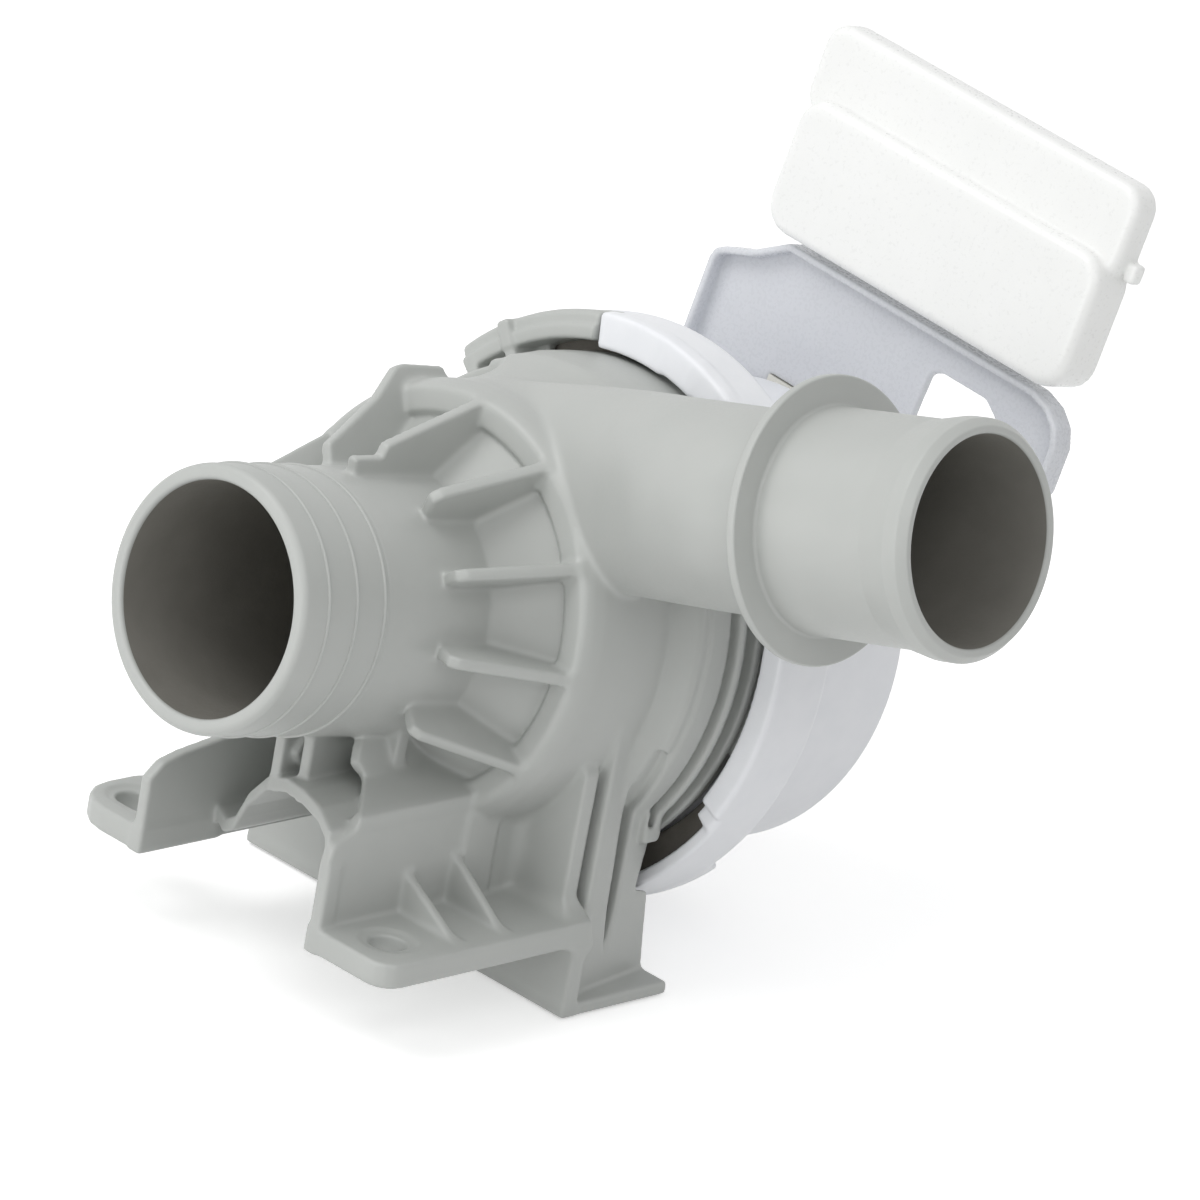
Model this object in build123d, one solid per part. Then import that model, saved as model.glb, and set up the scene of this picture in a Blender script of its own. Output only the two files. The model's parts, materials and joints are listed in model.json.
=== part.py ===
from build123d import *
import os
from math import cos, radians, sin

os.makedirs("parts", exist_ok=True)

# Angles of the pump against its feet, in degrees
axis_dip = 8.7
outlet_rise = 14.6
cover_roll = 5.0
full_turn = 360.0

# Inlet spigot
inlet_r = 20.0
inlet_bore_r = 17.5
inlet_lip = 1.2
inlet_length = 39.5
grip_stations = (5.3, 11.2, 17.1)
grip_height = 0.08
grip_seat = 20.6
inlet_draft = 0.3
grip_width = 0.9

# Front cone and its rim
cone_r = 28.0
cone_station = 47.6
rim_inner_r = 28.8
rim_r = 32.5
rim_front = 46.2
rim_back = 48.6
cone_bore_station = 41.2
cone_bore_r = 24.0
chamber_front = 50.2
chamber_r = 31.0
chamber_back = 68.0

# Volute body and rear flange
body_front_r = 33.4
body_r = 33.9
body_station = 50.0
body_back = 64.6
flange_r = 37.6
flange_front = 67.0
casing_back = 84.0
flange_wall = 1.6
rear_bore_r = flange_r - flange_wall
ridge_height = 1.3
ridge_r = flange_r + ridge_height
ridge_width = 1.3
ridge_stations = (67.6, 75.0, 78.8)
ridge_from = -210.0
ridge_to = 40.0
dome_rise = 0.9
dome_r = flange_r + dome_rise
dome_to = 150.0

# Radial ribs of the cone
rib_thickness = 2.0
rib_root_r = 18.8
rib_angles = (45.0, 15.0, -15.0, -45.0, -75.0, -105.0, -135.0, 195.0, 165.0, 135.0)
rib_outline = ((18.8, 31.2), (21.5, 28.8), (24.3, 27.7), (25.7, 28.9), (32.5, 46.4), (32.5, 48.2), (18.8, 48.2))
long_rib_angle = 75.0
long_rib_outline = (
    (18.8, 23.0), (22.8, 22.2), (23.0, 27.8), (25.0, 28.3), (32.5, 46.4), (32.5, 48.2), (18.8, 48.2),
)
hook_rib_angle = 105.0
hook_rib_outline = (
    (18.8, 28.4), (23.8, 28.9), (25.1, 31.1), (31.0, 40.4), (35.8, 45.4), (36.3, 47.2), (36.2, 55.8),
    (33.4, 57.4), (18.8, 57.4),
)

# Outlet
outlet_y = 50.65
outlet_z = 20.1
neck_r = 15.2
neck_root_x = 18.0
neck_root_front = 49.2
neck_stations = ((33.0, 45.2), (46.0, 39.2))
neck_full_x = 60.0
neck_wall = 2.4
body_front = 47.5
outlet_flange_x = 72.8
outlet_flange_r = 21.2
outlet_flange_thickness = 1.5
pipe_r = 16.65
bead_r = 17.6
bead_start = 94.5
bead_full = 98.6
bead_end = 101.0
outlet_end = 102.4
outlet_lip_r = 16.5
outlet_bore_r = 15.4
outlet_throat_r = 14.0
outlet_throat_x = 78.0

# Hook arch of the casing around the motor ring
arch_from = 88.9
arch_to = 127.6
arch_front = 77.2
arch_back = 86.2
web_spans = ((112.2, 115.4), (123.8, 127.6))
web_back = 83.8
root_depth = 0.6
web_root_r = flange_r - root_depth
lug_spans = ((-30.0, 10.0), (40.0, 70.0), (150.0, 190.0), (220.0, 250.0))
lug_height = 5.0
lug_r = flange_r + lug_height
lug_front = 81.0

# Feet, measured from the pump axis at the inlet mouth
foot_half_width = 35.6
wall_x = 19.6
wall_thickness = 2.2
foot_front = 13.6
foot_bottom = -50.7
foot_thickness = 4.0
foot_hole_x = 27.7
foot_hole_y = 21.4
foot_hole_r = 2.75
foot_slot_length = 8.0
foot_corner_r = 4.0
tab_back = 30.0
tab_corner_r = 8.0
cross_front = 54.0
cross_thickness = 3.0
base_bottom = -62.7
cross_shoulder_x = 32.0
cross_shoulder_z = -46.0
cross_top_x = 31.0
cross_top_z = -24.0
cross_side_z = -50.7
cross_crown_x = 22.0
cross_crown_z = -14.0
rear_plate_thickness = 2.3
rear_plate_inner_x = 10.0
rear_wall_x = 23.6
rear_wall_back = 76.8
rear_wall_front = 69.4
middle_wall_front = 59.2
middle_wall_back = 65.0
middle_wall_x = 28.6
inner_wall_x = 12.0
block_top_z = -30.0
right_wall_outline = (
    (13.6, -50.7), (13.6, -36.0), (14.2, -33.6), (16.2, -32.4), (18.2, -31.3), (19.2, -29.6), (55.0, -29.6),
    (55.0, -50.7),
)
roof_outline = ((20.7, -31.6), (20.7, -29.6), (19.8, -29.0), (6.0, -23.8), (6.0, -26.0))
roof_front = 18.2
roof_inner_front = 32.6
left_wall_outline = (
    (13.6, -50.7), (13.6, -38.6), (16.2, -36.2), (20.0, -35.2), (27.0, -34.2), (36.0, -31.0), (45.0, -20.0),
    (55.0, -20.0), (55.0, -50.7),
)
web_outline = ((-19.0, -46.0), (-15.2, -47.0), (-12.0, -45.0), (-8.8, -39.6), (-3.4, -34.4), (3.0, -31.8),
               (9.0, -30.9), (15.0, -30.9), (19.4, -32.6))
web_thickness = 2.4
web_left_front = 29.0
web_right_front = 13.8
gusset_stations = (31.0, 40.6)
gusset_heights = (7.0, 8.6)
gusset_reach = 13.6
gusset_thickness = 1.8
saddle_spans = ((-2.6, -0.4), (3.2, 5.4))
saddle_front = 22.0
saddle_back = 40.0
saddle_top_z = -18.0

# Front plate and body seal
plate_gap = 0.3
plate_r = rear_bore_r - plate_gap
plate_wall = 2.2
plate_inner_r = plate_r - plate_wall
plate_front = 68.3
plate_back = 70.2
plate_rim_back = 86.2
plate_hole_r = 12.0
groove_depth = 1.4
groove_r = plate_r - groove_depth
groove_front = 72.0
groove_width = 2.4
seal_section_r = 0.8
seal_gap = 0.05
seal_r = rear_bore_r - seal_section_r - seal_gap

# Rotor can
magnet_share = 0.3626
barrel_r = 36.4
magnet_r = magnet_share * barrel_r
magnet_gap = 1.0
can_wall = 1.2
can_inner_r = magnet_r + magnet_gap
can_r = can_inner_r + can_wall
can_flange_width = 5.6
can_flange_r = can_r + can_flange_width
can_flange_thickness = 1.6
can_back = 113.6
can_end_thickness = 1.2

# Shaft, bearings, magnet
shaft_r = 2.5
shaft_front = 53.0
shaft_back = 111.6
running_gap = 0.04
press_gap = 0.02
bush_r = 5.8
holder_gap = 0.1
holder_r = plate_hole_r - holder_gap
front_bush_front = 67.0
front_bush_back = 71.4
rear_bush_front = 108.2
rear_bush_back = 112.2
rear_holder_gap = 0.3
rear_holder_r = can_inner_r - rear_holder_gap
washer_r = 5.2
washer_thickness = 0.9
washer_gap = 0.3
carrier_r = 6.0
carrier_front = 84.0
carrier_back = 106.6
magnet_front = 85.0
magnet_back = 106.0
spacer_r = 4.2

# Impeller
hub_r = 7.0
hub_front = 53.6
hub_nose_r = 4.6
hub_nose = 51.8
hub_back = 64.0
vane_r = 24.0
vane_thickness = 1.8
vane_front = 52.6
vane_count = 6
disc_r = 22.0
disc_front = 62.0

# Motor housing
lug_gap = 0.6
skirt_inner_r = lug_r + lug_gap
skirt_wall = 2.2
ring_r = skirt_inner_r + skirt_wall
ring_inner_gap = 3.4
ring_inner_r = flange_r + ring_inner_gap
arch_gap = 0.1
arch_wall = 3.7
arch_r = ring_r - arch_gap
arch_inner_r = arch_r - arch_wall
ring_front = 77.8
ring_flange_back = 80.6
skirt_front = 79.6
skirt_back = 88.6
seat_station = 86.5
shoulder_station = 98.0
shoulder_step = 0.3
shoulder_r = barrel_r + shoulder_step
barrel_wall = 2.0
barrel_inner_r = barrel_r - barrel_wall
barrel_back = 117.8
barrel_edge = 1.2
barrel_end_thickness = 2.0
thick_spans = ((-40.0, 88.3), (140.0, 268.3))
notch_from = 88.3
notch_to = 128.4
apron_spans = ((-104.0, -56.0),)
apron_back = 91.0

# Stator
core_gap = 0.3
core_r = barrel_inner_r - core_gap
core_front = 90.8
core_back = 105.5
tooth_count = 6
tooth_width = 6.0
shoe_gap = 0.6
shoe_inner_r = can_r + shoe_gap
shoe_thickness = 3.0
tooth_tip_r = shoe_inner_r + shoe_thickness
winding_share = 0.69
winding_depth = winding_share * (core_r - tooth_tip_r)
core_inner_r = tooth_tip_r + winding_depth
shoe_angle = 44.0
bobbin_wall = 0.8
bobbin_flange_share = 0.115
bobbin_flange = bobbin_flange_share * winding_depth
bobbin_flange_reach = 3.6
bobbin_front_gap = 0.4
bobbin_back_gap = 1.3
bobbin_front_r = tooth_tip_r + bobbin_front_gap
bobbin_back_r = core_inner_r - bobbin_back_gap
coil_build = 2.8
fit_gap = 0.1
board_gap = 1.0
board_r = barrel_inner_r - board_gap
board_hole_gap = 2.0
board_inner_r = can_r + board_hole_gap
board_front = 110.3
board_thickness = 1.6

# Terminal block and pins, in the cover's own directions
block_x = 2.0
block_drop = 5.4
block_z = barrel_r - block_drop
block_width = 22.0
block_height = 10.0
block_wall = 1.4
block_front = 117.9
block_floor = 119.0
block_back = 123.4
block_lip = 1.6
block_lip_front = 120.0
block_lip_thickness = 1.0
pin_count = 3
pin_pitch = 5.0
pin_width = 2.8
pin_thickness = 0.8
pin_back = 122.8
pin_slot_gap = 0.3

# Connector cover
tray_front = 118.1
tray_thickness = 1.6
tray_left = -26.6
tray_left_low = 30.0
tray_left_high = 48.4
tray_right = 49.3
tray_right_low = 43.4
tray_right_high = 50.4
tray_top = 56.8
tray_top_left = -12.4
tray_top_right = 41.6
tray_left_corner = ((-26.0, 50.0), (-24.3, 51.0), (-18.8, 52.9))
tray_right_corner = ((45.4, 55.6), (48.0, 53.4))
tray_lower_outline = (
    (48.6, 41.2), (46.6, 39.4), (41.0, 37.6), (33.0, 34.0), (27.6, 28.0), (25.0, 22.0), (-20.0, 22.0),
    (-24.6, 25.0),
)
tray_rim_thickness = 1.2
tray_rim_depth = 3.0
tray_window_outline = ((19.8, 40.6), (20.2, 49.6), (22.4, 50.6), (31.8, 50.6), (35.2, 48.4), (36.6, 43.0), (34.0, 40.6))
hinge_z = 57.5
hinge_y = 119.9
hinge_from = -10.0
hinge_to = 39.0
hinge_lip = 0.7
hinge_gap = 0.35
lid_left = -16.8
lid_left_high = -19.2
lid_right = 48.4
lid_bottom = 58.5
lid_step = 79.4
lid_top = 92.3
lid_rim_back = 119.6
lid_deep = 8.0
lid_shallow = 5.2
lid_wall = 1.2
lid_edge_r = 4.5
lid_tab_width = 2.0
lid_tab_height = 3.2
lid_tab_front = 117.0
lid_tab_z = 79.6

cut_margin = 1.0
ring_clearance = 0.8


def turned(points):
    """A solid of revolution about the pump axis from (radius, station) points."""
    face = make_face(Polyline(*points, close=True))
    return revolve(face, axis=Axis.Y, revolution_arc=full_turn)


def turned_sector(points, start, stop):
    """The same profile swept only from one angle to another, counted from the outlet upward."""
    face = make_face(Polyline(*points, close=True))
    swept = revolve(face, axis=Axis.Y, revolution_arc=stop - start)
    return Rot(Y=-stop) * swept


def tube(outer, inner, front, back):
    """A plain ring about the pump axis."""
    return turned([(inner, front), (outer, front), (outer, back), (inner, back)])


def ring_sector(outer, inner, front, back, start, stop):
    """A part of a plain ring about the pump axis."""
    return turned_sector([(inner, front), (outer, front), (outer, back), (inner, back)], start, stop)


def meridian_plate(points, thickness, angle):
    """A flat plate that holds the pump axis in its plane, outlined by (radius, station) points."""
    face = make_face(Polyline(*points, close=True))
    plate = extrude(face, amount=thickness / 2, both=True)
    return Rot(Y=-angle) * plate


def box_between(x0, x1, y0, y1, z0, z1):
    """A box from its lower to its upper corner."""
    block = Box(x1 - x0, y1 - y0, z1 - z0)
    return Pos((x0 + x1) / 2, (y0 + y1) / 2, (z0 + z1) / 2) * block


def front_plate_of(points, front, back):
    """A prism square to the pump axis, outlined by (x, z) points."""
    face = make_face(Polyline(*[(x, z) for x, z in points], close=True))
    prism = extrude(face, amount=back - front)
    return Pos(0, back, 0) * (Rot(X=90) * prism)


def side_plate_of(points, x, thickness):
    """A wall square to the x direction, outlined by (y, z) points."""
    face = make_face(Polyline(*points, close=True))
    prism = extrude(face, amount=thickness / 2, both=True)
    return Pos(x, 0, 0) * (Plane.YZ * prism)


def along_outlet(points):
    """A solid of revolution about the outlet axis from (distance along it, radius) points."""
    face = make_face(Polyline(*points, close=True))
    return Pos(0, outlet_y, outlet_z) * revolve(face, axis=Axis.X, revolution_arc=full_turn)


def neck_body(sections, wall):
    """A body through oval sections across the outlet, each given by its place and its front."""
    faces = []
    back = outlet_y + neck_r - wall
    for x, front in sections:
        half = (back - front - wall) / 2
        faces.append(Pos(x, back - half, outlet_z) * (Rot(Y=90) * Ellipse(neck_r - wall, half)))
    return loft(faces)


pump_frame = Rot(X=-axis_dip) * Rot(Y=-outlet_rise)
cover_frame = Rot(X=-axis_dip) * Rot(Y=cover_roll)


# Volute casing, outer shape about the pump axis
casing_outer = turned([
    (0, 0),
    (inlet_r - inlet_lip, 0),
    (inlet_r, inlet_lip),
    (inlet_r, grip_seat),
    (inlet_r + inlet_draft, inlet_length),
    (cone_r, cone_station),
    (rim_inner_r, rim_front),
    (rim_r, rim_front),
    (body_front_r, body_front),
    (body_r, body_station),
    (body_r, body_back),
    (flange_r, flange_front),
    (flange_r, casing_back),
    (0, casing_back),
])
for station in grip_stations:
    casing_outer += tube(inlet_r + grip_height, inlet_r - inlet_lip, station, station + grip_width)
for station in ridge_stations:
    casing_outer += ring_sector(
        ridge_r, flange_r - ridge_width, station, station + ridge_width, ridge_from, ridge_to
    )
casing_outer += ring_sector(dome_r, rear_bore_r, flange_front, casing_back, ridge_to, dome_to)
for angle in rib_angles:
    casing_outer += meridian_plate(rib_outline, rib_thickness, angle)
casing_outer += meridian_plate(long_rib_outline, rib_thickness, long_rib_angle)
casing_outer += meridian_plate(hook_rib_outline, rib_thickness, hook_rib_angle)

# Outlet neck, which grows forward out of the volute to its full round
neck_sections = [(neck_root_x, neck_root_front), *neck_stations, (neck_full_x, outlet_y - neck_r)]
casing_outer += neck_body(neck_sections, 0)
casing_outer += along_outlet([
    (neck_full_x, 0),
    (neck_full_x, neck_r),
    (outlet_flange_x, neck_r),
    (outlet_flange_x, outlet_flange_r),
    (outlet_flange_x + outlet_flange_thickness, outlet_flange_r),
    (outlet_flange_x + outlet_flange_thickness, pipe_r),
    (bead_start, pipe_r),
    (bead_full, bead_r),
    (bead_end, bead_r),
    (outlet_end, outlet_lip_r),
    (outlet_end, 0),
])

# Hook arch and bayonet lugs
casing_rear = ring_sector(arch_r, arch_inner_r, arch_front, arch_back, arch_from, arch_to)
for start, stop in web_spans:
    casing_rear += ring_sector(arch_inner_r + cut_margin, web_root_r, arch_front, web_back, start, stop)
for start, stop in lug_spans:
    casing_rear += ring_sector(lug_r, web_root_r, lug_front, casing_back, start, stop)
casing_outer += casing_rear

# Feet, built level and joined to the tilted pump
casing_row = pump_frame * casing_outer
half_wall = wall_thickness / 2
foot_top = foot_bottom + foot_thickness
cross_back = cross_front + cross_thickness
right_foot = box_between(wall_x - half_wall, foot_half_width, foot_front, cross_back, foot_bottom, foot_top)
right_foot = fillet(
    right_foot.edges().filter_by(Axis.Z).sort_by(lambda e: e.center().X - e.center().Y)[-1:], foot_corner_r
)
left_foot = box_between(-foot_half_width, half_wall - wall_x, foot_front, tab_back, foot_bottom, foot_top)
left_foot = fillet(
    left_foot.edges().filter_by(Axis.Z).sort_by(lambda e: e.center().Y - e.center().X)[-1:], tab_corner_r
)
feet = right_foot + left_foot
feet += side_plate_of(right_wall_outline, wall_x, wall_thickness)
feet += side_plate_of(left_wall_outline, -wall_x, wall_thickness)
feet += front_plate_of(
    [
        (-foot_half_width, base_bottom), (foot_half_width, base_bottom), (foot_half_width, cross_side_z),
        (cross_shoulder_x, cross_shoulder_z), (cross_top_x, cross_top_z), (cross_crown_x, cross_crown_z),
        (-cross_crown_x, cross_crown_z), (-cross_top_x, cross_top_z), (-cross_shoulder_x, cross_shoulder_z),
        (-foot_half_width, cross_side_z),
    ],
    cross_front, cross_back,
)
for side in (1, -1):
    xs = sorted((side * rear_plate_inner_x, side * foot_half_width))
    feet += box_between(xs[0], xs[1], cross_front, rear_wall_back, base_bottom, base_bottom + rear_plate_thickness)
    xs = sorted((side * inner_wall_x, side * middle_wall_x))
    feet += box_between(xs[0], xs[1], middle_wall_front, middle_wall_back, base_bottom, block_top_z)
    xs = sorted((side * inner_wall_x, side * rear_wall_x))
    feet += box_between(xs[0], xs[1], rear_wall_front, rear_wall_back, base_bottom, block_top_z)
    xs = sorted((side * inner_wall_x, side * (inner_wall_x + wall_thickness)))
    feet += box_between(xs[0], xs[1], cross_front, rear_wall_back, base_bottom, block_top_z)
for station, height in zip(gusset_stations, gusset_heights):
    gusset = make_face(Polyline(
        (wall_x, foot_top), (wall_x + gusset_reach, foot_top), (wall_x, foot_top + height), close=True,
    ))
    feet += Pos(0, station, 0) * (Rot(X=90) * extrude(gusset, amount=gusset_thickness / 2, both=True))

# Wavy web between the side walls, with its slanted front
upper_web = [(x, z + web_thickness / 2) for x, z in web_outline]
lower_web = [(x, z - web_thickness / 2) for x, z in reversed(web_outline)]
web = front_plate_of(upper_web + lower_web, web_right_front, cross_back)
web_span = wall_x
slant = extrude(
    make_face(Polyline(
        (-web_span - cut_margin, web_right_front - cut_margin), (web_span, web_right_front - cut_margin),
        (web_span, web_right_front), (-web_span, web_left_front), (-web_span - cut_margin, web_left_front),
        close=True,
    )),
    amount=-base_bottom, both=True,
)
feet += web - slant
roof_reach = (roof_outline[0][0], roof_outline[-1][0])
roof = front_plate_of(roof_outline, roof_front, cross_back)
roof_slant = extrude(
    make_face(Polyline(
        (roof_reach[0] + cut_margin, roof_front - cut_margin), (roof_reach[0], roof_front),
        (roof_reach[1], roof_inner_front), (roof_reach[1] - cut_margin, roof_inner_front),
        (roof_reach[1] - cut_margin, roof_front - cut_margin), close=True,
    )),
    amount=-base_bottom, both=True,
)
feet += roof - roof_slant
for start, stop in saddle_spans:
    feet += box_between(start, stop, saddle_front, saddle_back, web_outline[4][1], saddle_top_z)

# The motor ring turns on the casing, so nothing of the feet stands in its sweep
feet -= pump_frame * tube(ring_r + ring_clearance, 0, ring_front - ring_clearance, barrel_back)

# Hollow inside, screw holes in the feet
casing_inner = turned([
    (0, -cut_margin),
    (inlet_bore_r, -cut_margin),
    (inlet_bore_r, cone_bore_station),
    (cone_bore_r, chamber_front - cut_margin),
    (chamber_r - cut_margin, chamber_front),
    (chamber_r, chamber_front + cut_margin),
    (chamber_r, chamber_back),
    (rear_bore_r, chamber_back),
    (rear_bore_r, casing_back + cut_margin),
    (0, casing_back + cut_margin),
])
neck_bore = neck_body(neck_sections, neck_wall)
outlet_bore = along_outlet([
    (neck_full_x, 0),
    (neck_full_x, neck_r - neck_wall),
    (outlet_flange_x, neck_r - neck_wall),
    (outlet_throat_x, outlet_throat_r),
    (outlet_end + cut_margin, outlet_bore_r),
    (outlet_end + cut_margin, 0),
])
hollow = pump_frame * (casing_inner + neck_bore + outlet_bore)
round_hole = Pos(foot_hole_x, foot_hole_y, foot_bottom + foot_thickness / 2) * Cylinder(
    foot_hole_r, foot_thickness + 2 * cut_margin
)
slot_half = foot_slot_length / 2 - foot_hole_r
slot_hole = Pos(-foot_hole_x, foot_hole_y, foot_bottom + foot_thickness / 2) * (
    Pos(slot_half, 0, 0) * Cylinder(foot_hole_r, foot_thickness + 2 * cut_margin)
    + Pos(-slot_half, 0, 0) * Cylinder(foot_hole_r, foot_thickness + 2 * cut_margin)
    + Box(2 * slot_half, 2 * foot_hole_r, foot_thickness + 2 * cut_margin)
)
volute_casing = casing_row + feet - hollow - round_hole - slot_hole

# Front plate that closes the pump chamber, with the groove for the body seal
front_plate = turned([
    (plate_hole_r, plate_front),
    (plate_r, plate_front),
    (plate_r, groove_front),
    (groove_r, groove_front),
    (groove_r, groove_front + groove_width),
    (plate_r, groove_front + groove_width),
    (plate_r, plate_rim_back),
    (plate_inner_r, plate_rim_back),
    (plate_inner_r, groove_front + groove_width + cut_margin),
    (groove_r - 2 * cut_margin, groove_front),
    (groove_r - 2 * cut_margin, plate_back),
    (plate_hole_r, plate_back),
])
seal_centre = Pos(seal_r, groove_front + groove_width / 2)
body_seal = revolve(seal_centre * Circle(seal_section_r), axis=Axis.Y, revolution_arc=full_turn)

# Rotor can, closed at the back
rotor_can = turned([
    (can_inner_r, plate_back),
    (can_flange_r, plate_back),
    (can_flange_r, plate_back + can_flange_thickness),
    (can_r, plate_back + can_flange_thickness),
    (can_r, can_back),
    (0, can_back),
    (0, can_back - can_end_thickness),
    (can_inner_r, can_back - can_end_thickness),
])

# Bearings in their holders
front_holder = tube(holder_r, bush_r + press_gap, front_bush_front, front_bush_back - washer_gap)
front_bush = tube(bush_r, shaft_r + running_gap, front_bush_front, front_bush_back)
rear_holder = tube(rear_holder_r, bush_r + press_gap, rear_bush_front + washer_gap, rear_bush_back)
rear_bush = tube(bush_r, shaft_r + running_gap, rear_bush_front, rear_bush_back)

# Rotating group: shaft, magnet on its carrier, washers, impeller
rotor_shaft = turned([
    (0, shaft_front), (shaft_r - washer_gap, shaft_front), (shaft_r, shaft_front + washer_gap),
    (shaft_r, shaft_back - washer_gap), (shaft_r - washer_gap, shaft_back), (0, shaft_back),
])
magnet_carrier = turned([
    (shaft_r + press_gap, front_bush_back + washer_gap + washer_thickness + press_gap),
    (spacer_r, front_bush_back + washer_gap + washer_thickness + press_gap),
    (spacer_r, carrier_front),
    (carrier_r, carrier_front),
    (carrier_r, carrier_back),
    (shaft_r + press_gap, carrier_back),
])
rotor_magnet = tube(magnet_r, carrier_r + press_gap, magnet_front, magnet_back)
front_washer = tube(
    washer_r, shaft_r + press_gap, front_bush_back + washer_gap, front_bush_back + washer_gap + washer_thickness
)
rear_washer = tube(
    washer_r, shaft_r + press_gap, carrier_back + press_gap, carrier_back + press_gap + washer_thickness
)
impeller = turned([
    (shaft_r + press_gap, hub_front),
    (hub_nose_r, hub_front),
    (hub_r, hub_front + (hub_r - hub_nose_r)),
    (hub_r, disc_front),
    (disc_r, disc_front),
    (disc_r, hub_back),
    (shaft_r + press_gap, hub_back),
])
vane = box_between(hub_r - cut_margin, vane_r, vane_front, hub_back, -vane_thickness / 2, vane_thickness / 2)
for number in range(vane_count):
    impeller += Rot(Y=number * full_turn / vane_count) * vane
impeller_cap = turned([
    (0, hub_nose), (hub_nose_r - cut_margin, hub_nose), (hub_nose_r, hub_nose + cut_margin),
    (hub_nose_r, hub_front - press_gap), (shaft_r + press_gap, hub_front - press_gap),
    (shaft_r + press_gap, shaft_front - press_gap), (0, shaft_front - press_gap),
])

# Stator: ring with teeth, coils on bobbins
stator_core = tube(core_r, core_inner_r, core_front, core_back)
tooth = box_between(tooth_tip_r - cut_margin, core_inner_r + cut_margin, core_front, core_back,
                    -tooth_width / 2, tooth_width / 2)
shoe = ring_sector(tooth_tip_r, shoe_inner_r, core_front, core_back, -shoe_angle / 2, shoe_angle / 2)
bobbin_half = tooth_width / 2 + fit_gap + bobbin_wall
bobbin_front = core_front - fit_gap - bobbin_wall
bobbin_back = core_back + fit_gap + bobbin_wall
bobbin = box_between(bobbin_front_r, bobbin_back_r, bobbin_front, bobbin_back, -bobbin_half, bobbin_half)
flange_half = bobbin_half + bobbin_flange_reach
for radius in (bobbin_front_r, bobbin_back_r - bobbin_flange):
    reach = bobbin_flange_reach if radius > bobbin_front_r else bobbin_flange_reach / 2
    bobbin += box_between(radius, radius + bobbin_flange, bobbin_front - reach, bobbin_back + reach,
                          -bobbin_half - reach, bobbin_half + reach)
bobbin -= box_between(bobbin_front_r - cut_margin, bobbin_back_r + cut_margin, core_front - fit_gap,
                      core_back + fit_gap, -tooth_width / 2 - fit_gap, tooth_width / 2 + fit_gap)
coil_front_r = bobbin_front_r + bobbin_flange + fit_gap
coil_back_r = bobbin_back_r - bobbin_flange - fit_gap
coil = box_between(coil_front_r, coil_back_r, bobbin_front - coil_build, bobbin_back + coil_build,
                   -bobbin_half - coil_build, bobbin_half + coil_build)
coil = fillet(coil.edges().filter_by(Axis.X), coil_build)
coil -= box_between(coil_front_r - cut_margin, coil_back_r + cut_margin, bobbin_front - fit_gap,
                    bobbin_back + fit_gap, -bobbin_half - fit_gap, bobbin_half + fit_gap)
bobbins = []
coils = []
for number in range(tooth_count):
    turn = Rot(Y=number * full_turn / tooth_count)
    stator_core += turn * tooth
    stator_core += turn * shoe
    bobbins.append(turn * bobbin)
    coils.append(turn * coil)
wiring_board = tube(board_r, board_inner_r, board_front, board_front + board_thickness)

# Motor housing: barrel, shoulder and bayonet ring
motor_housing = turned([
    (barrel_inner_r, seat_station),
    (skirt_inner_r, seat_station),
    (skirt_inner_r, skirt_front),
    (ring_r, skirt_front),
    (ring_r, skirt_back),
    (shoulder_r, shoulder_station),
    (barrel_r, barrel_back - barrel_edge),
    (barrel_r - barrel_edge, barrel_back),
    (0, barrel_back),
    (0, barrel_back - barrel_end_thickness),
    (barrel_inner_r, barrel_back - barrel_end_thickness),
])
motor_housing -= ring_sector(
    ring_r + cut_margin, skirt_inner_r - cut_margin, skirt_front - cut_margin, seat_station, notch_from, notch_to
)
for start, stop in thick_spans:
    motor_housing += ring_sector(ring_r, ring_inner_r, ring_front, ring_flange_back, start, stop)
for start, stop in apron_spans:
    motor_housing += ring_sector(ring_r, skirt_inner_r + cut_margin, skirt_back - cut_margin, apron_back, start, stop)

# Terminal block, pins, and the slots that they pass
pin_offsets = [(number - (pin_count - 1) / 2) * pin_pitch for number in range(pin_count)]
block_parts = box_between(
    block_x - block_width / 2, block_x + block_width / 2, block_front, block_back,
    block_z - block_height / 2, block_z + block_height / 2,
)
block_parts += box_between(
    block_x - block_width / 2 - block_lip, block_x + block_width / 2 + block_lip,
    block_lip_front, block_lip_front + block_lip_thickness,
    block_z - block_height / 2 - block_lip, block_z + block_height / 2 + block_lip,
)
block_parts -= box_between(
    block_x - block_width / 2 + block_wall, block_x + block_width / 2 - block_wall, block_floor,
    block_back + cut_margin, block_z - block_height / 2 + block_wall, block_z + block_height / 2 - block_wall,
)
terminal_pins = []
pin_slots = []
for offset in pin_offsets:
    x = block_x + offset
    terminal_pins.append(box_between(
        x - pin_width / 2, x + pin_width / 2, board_front + board_thickness, pin_back,
        block_z - pin_thickness / 2, block_z + pin_thickness / 2,
    ))
    pin_slots.append(box_between(
        x - pin_width / 2 - pin_slot_gap, x + pin_width / 2 + pin_slot_gap,
        board_front + board_thickness, block_floor + cut_margin,
        block_z - pin_thickness / 2 - pin_slot_gap, block_z + pin_thickness / 2 + pin_slot_gap,
    ))
for slot in pin_slots:
    block_parts -= slot

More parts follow.
